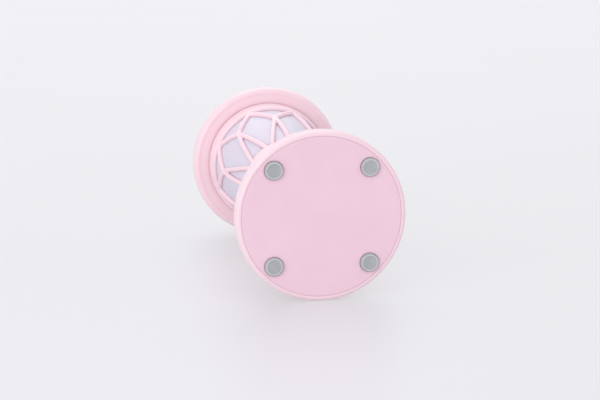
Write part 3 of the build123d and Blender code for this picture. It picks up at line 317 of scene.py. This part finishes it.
def cut(obj, *cutters):
    """Cuts solids out of a piece, then takes the cutters away."""
    for cutter in cutters:
        step = obj.modifiers.new("cut", "BOOLEAN")
        step.operation = "DIFFERENCE"
        step.solver = "EXACT"
        step.object = cutter
    weighted = [m for m in obj.modifiers if m.type == "WEIGHTED_NORMAL"]
    for m in weighted:
        obj.modifiers.remove(m)
    bpy.context.view_layer.update()
    mesh = bpy.data.meshes.new_from_object(obj.evaluated_get(bpy.context.evaluated_depsgraph_get()))
    obj.modifiers.clear()
    obj.data = mesh
    for cutter in cutters:
        bpy.data.objects.remove(cutter)
    mesh.shade_smooth()
    sharpen(mesh)
    weigh_normals(obj)
    return obj


def sharpen(mesh, angle=40):
    """Marks the edges that turn by more than the angle as sharp."""
    work = bmesh.new()
    work.from_mesh(mesh)
    limit = radians(angle)
    for edge in work.edges:
        if len(edge.link_faces) == 2:
            edge.smooth = edge.calc_face_angle(0.0) < limit
    work.to_mesh(mesh)
    work.free()


def prism(name, outline, low, high, material, body, turn=None):
    """A straight prism of an outline of (x, y) points between two heights, turned afterwards."""
    count = len(outline)
    vertices = [(x, y, z) for z in (low, high) for x, y in outline]
    faces = [tuple(range(count)), tuple(range(2 * count - 1, count - 1, -1))]
    faces += [(i, (i + 1) % count, count + (i + 1) % count, count + i) for i in range(count)]
    if turn:
        vertices = [tuple(turn @ Vector(v)) for v in vertices]
    return new_object(name, vertices, faces, material, body, smooth=False)


def circle(radius, centre=(0, 0), steps=96):
    """Points round a circle."""
    turns = [TURN * k / steps for k in range(steps)]
    return [(centre[0] + radius * cos(a), centre[1] + radius * sin(a)) for a in turns]


# ---------------------------------------------------------------- base
PLATE_TOP_Z = 5.2
PLATE_EDGE_R = 61.22
GROOVE_R = 61.5
GROOVE_DEPTH = 0.45  # the shadow line round the plate
LIP_Z = 2.7
LOWER_R = 62.4  # the housing's lower rounding starts here
UPPER_R = 60.5  # and its upper one ends here
SHOULDER_H = 4.0
SIDE_Z = (4.9, 14.5)
GROOVE_TOP = LIP_Z + GROOVE_DEPTH
lip = [(PLATE_EDGE_R, PLATE_TOP_Z), (PLATE_EDGE_R, GROOVE_TOP), (GROOVE_R, GROOVE_TOP)]
housing = rounded(lip + [(GROOVE_R, LIP_Z, 0.2), (LOWER_R, LIP_Z)])
housing += oval((LOWER_R, SIDE_Z[0]), (BASE_R - LOWER_R, SIDE_Z[0] - LIP_Z), 276, 360, 16)
housing += oval((UPPER_R, SIDE_Z[1]), (BASE_R - UPPER_R, SHOULDER_H), 0, 90, 20)
deck = [(59.5, 18.55), (47.2, 19.3, 1.0), (46.6, 19.5), (39.0, 19.5)]
inside = [(39.0, 17.0), (57.5, 15.9), (61.5, 13.5), (62.4, 11.0), (61.9, 8.6), (58.8, 7.2)]
inside.append((58.8, PLATE_TOP_Z))
housing += rounded(deck + inside + [(PLATE_EDGE_R, PLATE_TOP_Z)])[:-1]
base = lathe("base_shell", housing, PINK, "stand")
stand_for(base, "blush_plastic", "base_housing")

SOCKET_Z = 11.0
SLOT_R = 2.1
SLOT_REACH = 2.9  # from the slot's middle to the middle of its round end
ends = circle(SLOT_R, steps=32)
socket_slot = [(x + (SLOT_REACH if x > 0 else -SLOT_REACH), y + SOCKET_Z) for x, y in ends]
LYING = Matrix(((1, 0, 0), (0, 0, -1), (0, 1, 0)))  # turns a prism's +Z to -Y and its +Y to +Z
cut(base, prism("slot_cutter", socket_slot, -70, -55, PINK, "stand", LYING))

PLATE_R = 61.2
CORNER = 36.7  # the feet stand at this distance from both planes of symmetry
POCKET_R = 7.55
FOOT_TOP_Z = 3.1
plate_line = rounded([(PLATE_R, PLATE_TOP_Z), (PLATE_R, FOOT_DROP, 0.4), (0, FOOT_DROP)])
plate_line = [(0, PLATE_TOP_Z)] + plate_line + [(0, FOOT_DROP)]
plate = lathe("bottom_plate", plate_line, PLATE_PINK, "stand", closed=False)
corners = [(x, y) for y in (-CORNER, CORNER) for x in (-CORNER, CORNER)]
pockets = []
for i, corner in enumerate(corners):
    pockets.append(prism(f"pocket_{i}", circle(POCKET_R, corner), 1.0, FOOT_TOP_Z, PLATE_PINK, "stand"))
cut(plate, *pockets)
stand_for(plate, "blush_satin", "base_plate")

FOOT_HIGHLIGHT_RING = (5.45, 6.7)  # a ring round the tread painted paler: a painted highlight on its rounded shoulder
TREAD_Z = 0.35  # the middle of the tread is hollow
FOOT_R = 7.25
tread = [(0.1, TREAD_Z), (5.0, TREAD_Z, 0.8), (5.5, 0.0, 0.35), (6.3, 0.0, 0.5)]
foot_profile = rounded(tread + [(FOOT_R, 0.9, 0.8), (FOOT_R, FOOT_TOP_Z), (0, FOOT_TOP_Z)])
foot_profile = [(0, TREAD_Z)] + foot_profile
for number, (x, y) in enumerate(corners, start=1):
    foot = lathe(f"rubber_foot_{number}", foot_profile, GREY_RUBBER, "stand", closed=False, steps=96)
    # faces in the ring round the tread take the paler rubber: a painted highlight
    foot.data.materials.append(PAINTED_HIGHLIGHT_RUBBER)
    for face in foot.data.polygons:
        reach = hypot(face.center.x, face.center.y) / MM
        if FOOT_HIGHLIGHT_RING[0] < reach < FOOT_HIGHLIGHT_RING[1] and face.center.z < 0.5 * MM:
            face.material_index = 1
    foot.data.transform(Matrix.Translation((x * MM, y * MM, 0)))
    stand_for(foot, "grey_rubber", f"foot_{number}")

# ---------------------------------------------------------------- pedestal
def arc_through(start, middle, end, steps=40):
    """Points along the circle through three (r, z) points."""
    (ax, ay), (bx, by), (cx, cy) = start, middle, end
    d = 2 * (ax * (by - cy) + bx * (cy - ay) + cx * (ay - by))
    aa, bb, cc = ax * ax + ay * ay, bx * bx + by * by, cx * cx + cy * cy
    ux = (aa * (by - cy) + bb * (cy - ay) + cc * (ay - by)) / d
    uy = (aa * (cx - bx) + bb * (ax - cx) + cc * (bx - ax)) / d
    radius = hypot(ax - ux, ay - uy)
    first = atan2(ay - uy, ax - ux)
    sweep = (atan2(cy - uy, cx - ux) - first) % TURN
    if (atan2(by - uy, bx - ux) - first) % TURN > sweep:
        sweep -= TURN
    turns = [first + sweep * k / steps for k in range(steps + 1)]
    return [(ux + radius * cos(a), uy + radius * sin(a)) for a in turns]


PEDESTAL = ((46.0, 19.5), (41.5, 85.0), (27.0, 147.0))
PEDESTAL_INSIDE = ((24.4, 147.0), (39.0, 85.0), (43.5, 19.5))
BUTTON_Z = 108.0
BUTTON_HOLE_R = 9.0
LAMP_RISE = 15  # the lamp is this far above the button
LAMP_R = 1.6
column = arc_through(*PEDESTAL) + arc_through(*PEDESTAL_INSIDE)
pedestal = lathe("pedestal_column", column, PINK, "stand")
button_hole = [(x, y + BUTTON_Z) for x, y in circle(BUTTON_HOLE_R)]
lamp_hole = [(x, y + BUTTON_Z + LAMP_RISE) for x, y in circle(LAMP_R, steps=32)]
cut(pedestal, prism("button_cutter", button_hole, 30, 50, PINK, "stand", LYING),
    prism("lamp_cutter", lamp_hole, 30, 50, PINK, "stand", LYING))
stand_for(pedestal, "blush_plastic", "pedestal_shell")

neck = rounded([(22.4, 145.0), (24.3, 145.0), (24.3, 147.0), (27.0, 147.0, 0.3), (27.0, 148.5, 0.5),
                (24.4, 150.0, 0.3), (10.5, 150.0), (10.5, 148.6), (22.4, 148.0)])
stand_for(lathe("pedestal_neck", neck, WHITE, "stand"), "white_plastic", "pedestal_head")


def turned_forward(name, profile, material, body, closed=True):
    """A lathe piece whose axis points forward, to -Y, at the button's height."""
    obj = lathe(name, profile, material, body, closed, 128)
    obj.data.transform(Matrix.Translation((0, 0, BUTTON_Z * MM)) @ LYING.to_4x4())
    return obj


bezel = rounded([(7.3, 36.0), (7.3, 39.2, 0.3), (8.2, 39.6, 0.5), (9.0, 39.2, 0.6), (9.0, 36.0),
                 (7.3, 36.0)])[:-1]
ring = turned_forward("button_ring", bezel, WHITE, "stand")
stand_for(ring, "white_plastic", "button_bezel")
button_face = [(0.1, 40.1), (5.0, 40.3, 1.0), (7.0, 40.4, 0.9), (7.0, 36.0)]
button_back = [(8.2, 36.0), (8.2, 34.8), (1.8, 34.8), (1.8, 32.3), (0, 32.3)]
button = [(0, 40.1)] + rounded(button_face + button_back)
button_cap = turned_forward("power_button_cap", button, WHITE, "button", closed=False)
stand_for(button_cap, "white_plastic", "power_button")

# ---------------------------------------------------------------- cage
def on_wall(z, angle, inset=0.0):
    """Point of the cage's wall at a height and an angle."""
    r = wall_radius(z, inset)
    return Vector((r * cos(angle), r * sin(angle), z))


PITCH = TURN / SIDES
MITRE = 0.35  # how softly the ribs run together
SHOULDER = 0.35  # upright part of a rib's side, in mm


class Rib:
    """One straight rib between two crossings of the lattice."""

    def __init__(self, low_ring, step, side):
        self.start = on_wall(LATTICE_Z[low_ring], step * PITCH / 2, RIB_DEPTH / 2)
        finish = on_wall(LATTICE_Z[low_ring + 1], (step + side) * PITCH / 2, RIB_DEPTH / 2)
        middle = (self.start + finish) / 2
        self.along = (finish - self.start).normalized()
        self.across = self.along.cross(Vector((middle.x, middle.y, 0)).normalized()).normalized()
        self.length = (finish - self.start).length

    def distance(self, point):
        """Distance in mm from the rib's middle line."""
        offset = point - self.start
        beyond = max(0.0, -offset.dot(self.along), offset.dot(self.along) - self.length)
        return hypot(offset.dot(self.across), beyond)


RING_STEPS = ((-3, -1, 1, 3), (-2, 0, 2))  # crossings near one sector, in half pitches, ring by ring
RIBS = [Rib(ring, step, side) for ring in (0, 1) for step in RING_STEPS[ring] for side in (-1, 1)]


def outside_rib(z, angle):
    """Signed distance, in mm, from the edge of the cage's material: negative inside it."""
    point = on_wall(z, angle)
    total = sum(exp(-(rib.distance(point) - RIB_HALF) / MITRE) for rib in RIBS)
    total += exp(-max(-6.0, BAND_Z - z) / MITRE)
    return -MITRE * log(max(total, 1e-30))


LEVELS = (0.0, -0.12, -0.35, -0.7, -1.2)  # contours that follow a rib's rounding, in mm
CELL = 0.7
GRID_Z = (157.0, CAGE_EDGE)


def split(polygon, level):
    """The parts of a polygon of (angle, z, s) corners below and above a level of s."""
    below, above = [], []
    for here, there in zip(polygon, polygon[1:] + polygon[:1]):
        (below if here[2] <= level else above).append(here)
        if (here[2] <= level) != (there[2] <= level):
            first, second = sorted((here, there))
            t = (level - first[2]) / (second[2] - first[2])
            angle, z = (first[k] + (second[k] - first[k]) * t for k in (0, 1))
            crossing = (angle, z, level)
            below.append(crossing)
            above.append(crossing)
    return below, above


ROUNDNESS = 2.1  # exponent of the ribs' section: 2 is an ellipse


def rib_inset(s):
    """How far the rounded outer face lies inside the ribs' crest, s mm in from their edge."""
    rise = 1 - min(1.0, -s / RIB_HALF)
    return (RIB_DEPTH - SHOULDER) * (1 - (1 - rise**ROUNDNESS) ** (1 / ROUNDNESS))


NECK_Z, NECK_RUN, NECK_DEPTH = 228.2, 1.8, 0.8  # the band draws in where it meets the rim


def lattice_cells():
    """One sector's cells, cut to the ribs: polygons of (angle, z, s) corners."""
    columns = round(PITCH * CAGE_R / CELL)
    rows = round((GRID_Z[1] - GRID_Z[0]) / CELL)
    field = {}
    for i in range(columns + 1):
        angle = PITCH * (i / columns - 0.5)
        for j in range(rows + 1):
            z = GRID_Z[0] + (GRID_Z[1] - GRID_Z[0]) * j / rows
            field[i, j] = (angle, z, outside_rib(z, angle))
    cells = []
    for i in range(columns):
        for j in range(rows):
            rest = [field[i, j], field[i + 1, j], field[i + 1, j + 1], field[i, j + 1]]
            for level in LEVELS:
                rest, outer = split(rest, level)
                if len(outer) > 2 and level != LEVELS[0]:
                    cells.append(outer)
                if len(rest) < 3:
                    break
            if len(rest) > 2:
                cells.append(rest)
    return cells


def lattice_geometry():
    """Points and faces of the whole lattice: one sector's cells repeated round the cage."""
    cells = lattice_cells()
    points, faces, index, sides = [], [], {}, {}
    for sector in range(SIDES):
        for cell in cells:
            loop = []
            for angle, z, s in cell:
                turned = (angle + sector * PITCH) % TURN
                neck = NECK_DEPTH * min(1.0, max(0.0, (z - NECK_Z) / NECK_RUN))
                key = (round(turned * 1e6) % round(TURN * 1e6), round(z * 1e4))
                if key not in index:
                    index[key] = len(points)
                    points.append(on_wall(z, turned, rib_inset(s) + neck))
                    points.append(on_wall(z, turned, RIB_BACK))
                if not loop or index[key] != loop[-1]:
                    loop.append(index[key])
            if len(loop) > 1 and loop[0] == loop[-1]:
                loop.pop()
            if len(set(loop)) < 3:
                continue
            faces.append(tuple(loop))
            faces.append(tuple(k + 1 for k in reversed(loop)))
            for a, b in zip(loop, loop[1:] + loop[:1]):
                sides[frozenset((a, b))] = None if frozenset((a, b)) in sides else (a, b)
    faces += [(b, a, a + 1, b + 1) for a, b in filter(None, sides.values())]
    return points, faces


lattice_points, lattice_faces = lattice_geometry()
lattice = new_object("lattice_cage", lattice_points, lattice_faces, PINK, "stand")
stand_for(lattice, "blush_plastic", "cage")
COLLAR_R = 29.4
collar = rounded([(12.0, 150.0), (24.4, 150.0), (25.4, 150.6, 0.6), (COLLAR_R, COLLAR_Z - 1, 1.2),
                  (COLLAR_R, COLLAR_Z, 0.3), (26.8, COLLAR_Z, 0.3), (25.6, 155.0, 2.0), (24.6, 152.2),
                  (12.0, 152.2), (12.0, 150.0)])[:-1]
stand_for(lathe("cage_collar", collar, PINK, "stand"), "blush_plastic", "cage")

# ---------------------------------------------------------------- bowl
SHELL_IN = 4.7
BOWL_Z = (158.0, 236.0)
SHELL_FLOOR = 159.8
WALL_TOP = 233.0  # the bowl's lip stands on its walls here
LINER_OUT, LINER_IN, LINER_FLOOR = 9.3, 10.4, 166.9
LINER_UNDER = LINER_FLOOR - 1.1
STEP_Z, STEP = 164.6, 0.8  # the bowl's foot, below this height, is stepped in


def wall_line(inset, low, high, steps=48):
    """Profile points of a wall that lies inset mm inside the ribs' outside."""
    heights = [low + (high - low) * k / steps for k in range(steps + 1)]
    return [(wall_radius(z, inset), z) for z in heights]


foot_line = wall_line(BOWL_INSET + STEP, 160.5, STEP_Z, 6)
bottom = [(0.1, BOWL_Z[0]), (wall_radius(BOWL_Z[0], BOWL_INSET), BOWL_Z[0], 2.0), foot_line[0]]
shell = [(0, BOWL_Z[0])] + rounded(bottom) + foot_line[1:]
shell += wall_line(BOWL_INSET, STEP_Z, WALL_TOP) + wall_line(SHELL_IN, WALL_TOP, SHELL_FLOOR)
shell += [(0, SHELL_FLOOR)]
stand_for(lathe("bowl_outer", shell, LAVENDER, "bowl", closed=False), "white_plastic", "bowl_shell")
liner = [(0, LINER_UNDER)] + wall_line(LINER_OUT, LINER_UNDER, WALL_TOP)
liner += wall_line(LINER_IN, WALL_TOP, LINER_FLOOR) + [(0, LINER_FLOOR)]
stand_for(lathe("bowl_lining", liner, ALUMINIUM, "bowl", closed=False), "bare_aluminium", "bowl_liner")
bowl_out, bowl_in = wall_radius(WALL_TOP, BOWL_INSET), wall_radius(WALL_TOP, LINER_IN)
bowl_lip = rounded([(bowl_in, WALL_TOP), (bowl_out, WALL_TOP), (bowl_out, BOWL_Z[1], 1.1),
                    (bowl_in, BOWL_Z[1], 1.1), (bowl_in, WALL_TOP)])[:-1]
stand_for(lathe("bowl_lip", bowl_lip, WHITE, "bowl"), "white_plastic", "bowl_rim")

# ---------------------------------------------------------------- rim
RIM_BOX_R = 60.4
RIM_IN_R = 53.2
WIDEST_Z = 235.4
NOSE_Z = 230.2  # the rim's underside rounds up to here beside the cage
UNDER_R = (55.4, 59.6)  # the all but flat part of the underside
UNDER_DIP = 0.2
DIP_STEPS = 12
rim = [(CAGE_R - NECK_DEPTH, CAGE_EDGE), (CAGE_R - NECK_DEPTH, 230.3)]
rim += oval((RIM_IN_R, NOSE_Z), (2.3, NOSE_Z - RIM_UNDER), 190, 270, 12)
for k in range(DIP_STEPS + 1):
    share = k / DIP_STEPS
    rim.append((UNDER_R[0] + (UNDER_R[1] - UNDER_R[0]) * share, RIM_UNDER + UNDER_DIP * sin(pi * share)))
rim += oval((UNDER_R[1], WIDEST_Z), (RIM_R - UNDER_R[1], WIDEST_Z - RIM_UNDER), 274, 360, 16)
rim += oval((RIM_BOX_R, WIDEST_Z), (RIM_R - RIM_BOX_R, 9.4), 4, 90, 20)
rim += [(RIM_BOX_R, 241.5), (62.2, 238.5), (62.4, WIDEST_Z), (61.6, 233.4), (59.6, 232.2), (RIM_IN_R, 232.2),
        (RIM_IN_R, CAGE_EDGE)]
stand_for(lathe("rim_shell", rim, PINK, "stand"), "blush_plastic", "rim_ring")
crown = rounded([(46.4, 238.5), (60.2, 238.5), (60.2, 244.8, 0.5), (58.4, 245.0, 1.0), (53.6, 245.0, 0.6),
                 (52.6, 244.0, 0.6), (52.6, 240.5), (46.4, 240.5), (46.4, 238.5)])[:-1]
stand_for(lathe("rim_crown", crown, PINK, "stand"), "blush_plastic", "rim_top")

# ---------------------------------------------------------------- lid
LID_TOP = 260.0
FILLER_Y, FILLER_R = -29.0, 12.5
HINGE = (-12.6, 262.8)
LID_UNDER = 257.5
dome_outside = [(0.1, LID_TOP), (50.0, LID_TOP, 7.0), (50.0, 244.4, 0.5), (52.2, 244.0, 0.3), (52.2, 241.3)]
dome_skirt = [(45.8, 241.3), (45.8, 237.2, 0.4), (43.8, 237.2, 0.4), (43.8, 243.5)]
dome_inside = [(47.5, 246.0, 1.0), (47.5, LID_UNDER, 4.5), (14.0, LID_UNDER)]
dome_boss = [(8.0, LID_UNDER), (8.0, 248.5, 0.5), (5.0, 248.5, 0.3), (5.0, LID_UNDER), (0, LID_UNDER)]
dome = [(0, LID_TOP)] + rounded(dome_outside + dome_skirt + dome_inside, 10) + rounded(dome_boss)
lid = lathe("lid_dome", dome, PINK, "lid", closed=False)
cut(lid, prism("filler_cutter", circle(FILLER_R, (0, FILLER_Y)), 250, 265, PINK, "lid"))
stand_for(lid, "blush_plastic", "lid_shell")
THROAT_R = FILLER_R + 1.6
THROAT_Z = (255.5, 257.6)
throat_line = rounded([(FILLER_R, THROAT_Z[1]), (THROAT_R, THROAT_Z[1]), (THROAT_R, THROAT_Z[0], 0.3),
                       (FILLER_R, THROAT_Z[0], 0.3), (FILLER_R, THROAT_Z[1])])[:-1]
throat = lathe("filler_throat", throat_line, PINK, "lid", steps=96)
throat.data.transform(Matrix.Translation((0, FILLER_Y * MM, 0)))
stand_for(throat, "blush_plastic", "lid_shell")
ACROSS = Matrix(((0, 0, 1), (1, 0, 0), (0, 1, 0)))  # turns a prism's +Z to +X, +X to +Y and +Y to +Z
LUG_R = 2.4
LUG_T = 2.5
LUG_FOOT = LID_TOP - 0.2  # the lugs reach a little into the dome
lug_outline = oval(HINGE, (LUG_R, LUG_R), 0, 180, 15)
lug_outline += [(HINGE[0] - LUG_R, LUG_FOOT), (HINGE[0] + LUG_R, LUG_FOOT)]
for side, low in (("left", -8.8), ("right", 6.3)):
    lug = prism(f"hinge_lug_{side}", lug_outline, low, low + LUG_T, PINK, "lid", ACROSS)
    lug.modifiers.new("edges", "BEVEL").width = 0.25 * MM
    stand_for(lug, "blush_plastic", "lid_shell")

knob = [(0, LID_TOP), (8.0, LID_TOP)] + arc_through((8.0, LID_TOP), (6.6, 264.0), (8.6, 267.6), 16)[1:]
knob += arc_through((8.6, 267.6), (8.2, 271.0), (5.0, 272.0), 12)[1:]
knob += rounded([(4.4, 272.0), (3.9, 272.0, 0.4), (3.4, 271.4, 0.4), (0, 271.4)])
stand_for(lathe("lid_handle", knob, WHITE, "lid", closed=False, steps=128), "white_plastic", "lid_knob")

# ---------------------------------------------------------------- filler cap
CAP_UNDER = 260.3
cap_top = [(0.1, 262.0), (10.4, 262.0, 0.6), (11.0, 262.3, 0.5), (14.0, 262.3, 0.7), (14.0, CAP_UNDER, 0.3)]
spigot = [(11.9, CAP_UNDER), (11.9, 257.8, 0.4), (10.3, 257.8, 0.4), (10.3, CAP_UNDER), (0, CAP_UNDER)]
cap = [(0, 262.0)] + rounded(cap_top + spigot)
disc = lathe("cap_disc", cap, WHITE, "cap", closed=False, steps=128)
disc.data.transform(Matrix.Translation((0, FILLER_Y * MM, 0)))
stand_for(disc, "white_plastic", "filler_cap")
PIN_HOLE_R = 1.25
BARREL_R = 2.2
BARREL_HALF = 6.0
barrel_line = rounded([(PIN_HOLE_R, -BARREL_HALF), (BARREL_R, -BARREL_HALF, 0.3),
                       (BARREL_R, BARREL_HALF, 0.3), (PIN_HOLE_R, BARREL_HALF),
                       (PIN_HOLE_R, -BARREL_HALF)])[:-1]
barrel = lathe("cap_barrel", barrel_line, WHITE, "cap", steps=64)
barrel.data.transform(Matrix.Translation((0, HINGE[0] * MM, HINGE[1] * MM)) @ ACROSS.to_4x4())
stand_for(barrel, "white_plastic", "filler_cap")
TONGUE_Y = (HINGE[0] - 6.2, HINGE[0] - 0.8)
tongue_outline = [(-6.0, TONGUE_Y[0]), (6.0, TONGUE_Y[0]), (6.0, TONGUE_Y[1]), (-6.0, TONGUE_Y[1])]
tab_outline = oval((0, FILLER_Y - 14.0), (6.0, 2.5), 0, 360, 48)[:-1]
for name, outline in (("cap_tongue", tongue_outline), ("cap_tab", tab_outline)):
    tab = prism(name, outline, 260.35, 261.8, WHITE, "cap")
    edge = tab.modifiers.new("edges", "BEVEL")
    edge.width = 0.4 * MM
    edge.segments = 3
    stand_for(tab, "white_plastic", "filler_cap")

# ---------------------------------------------------------------- stage, lights and camera
METRE_R = BASE_R * MM
FLOOR_Y = METRE_R + 0.0002
CARD_REACH = 6.0


def floor_material():
    """Pale studio card, lit through from behind, and seen from its front only, so that it hides nothing."""
    n = Nodes("studio_card")
    clouds = n.ramp(n.noise(3, 3), [(0.2, linear(150, 149, 153)), (0.8, linear(153, 152, 156))])
    n.link(clouds, n.shader.inputs["Base Color"])
    n.link(n.bump(n.noise(900, 2), 0.00004, 0.3), n.shader.inputs["Normal"])
    n.set(Roughness=0.38, IOR=1.45)
    n.set(Emission_Color=(0.98, 0.98, 1.0, 1), Emission_Strength=0.40)
    facing = n.add("ShaderNodeNewGeometry").outputs["Backfacing"]
    clear = n.add("ShaderNodeBsdfTransparent")
    mix = n.add("ShaderNodeMixShader")
    n.link(facing, mix.inputs["Fac"])
    n.link(n.shader.outputs["BSDF"], mix.inputs[1])
    n.link(clear.outputs["BSDF"], mix.inputs[2])
    n.link(mix.outputs["Shader"], n.tree.nodes["Material Output"].inputs["Surface"])
    return n.material


# The object lies on its back, so the card it lies on stands upright behind it in the frame's axes.
floor_mesh = bpy.data.meshes.new("floor")
signs = ((-1, -1), (1, -1), (1, 1), (-1, 1))
floor_corners = [(x * CARD_REACH, FLOOR_Y, z * CARD_REACH) for x, z in signs]
floor_mesh.from_pydata(floor_corners, [], [(0, 1, 2, 3)])
floor = bpy.data.objects.new("floor", floor_mesh)
floor_mesh.materials.append(floor_material())
bpy.context.scene.collection.objects.link(floor)


def soft_light(name, place, target, size, power):
    """A round area light, in metres and watts."""
    lamp = bpy.data.lights.new(name, "AREA")
    lamp.shape = "DISK"
    lamp.size = size
    lamp.energy = power
    obj = bpy.data.objects.new(name, lamp)
    obj.location = place
    obj.rotation_euler = (Vector(target) - Vector(place)).to_track_quat("-Z", "Y").to_euler()
    bpy.context.scene.collection.objects.link(obj)


MIDDLE = (0, 0, 0.11)
soft_light("back_light", (0.2, -2.2, 1.9), (0, 0, 1.2), 3.0, 24)
soft_light("front_light", (-1.2, -0.5, -1.2), MIDDLE, 1.6, 13)

world = bpy.data.worlds.new("studio")
world.use_nodes = True
background = world.node_tree.nodes["Background"]
background.inputs["Color"].default_value = (0.97, 0.98, 1.0, 1)
background.inputs["Strength"].default_value = 0.88
bpy.context.scene.world = world
bpy.context.scene.view_settings.view_transform = "Standard"

# The camera looks at the underside from a little above the card, with the card's normal upright.
DISTANCE = 22.49 * METRE_R
BEARING, DIP = radians(11.31), radians(11.87)
AIM = Vector((-0.242 * METRE_R, -0.191 * METRE_R, 0.0875 * METRE_R + FOOT_DROP * MM))
ahead = Vector((sin(BEARING) * cos(DIP), sin(DIP), cos(BEARING) * cos(DIP)))
right = Vector((0, -1, 0)).cross(-ahead).normalized()
camera_data = bpy.data.cameras.new("camera")
camera_data.lens = 117.0
camera = bpy.data.objects.new("camera", camera_data)
turned = Matrix((right, (-ahead).cross(right), -ahead)).transposed()
camera.matrix_world = Matrix.Translation(AIM - ahead * DISTANCE) @ turned.to_4x4()
bpy.context.scene.collection.objects.link(camera)
bpy.context.scene.camera = camera
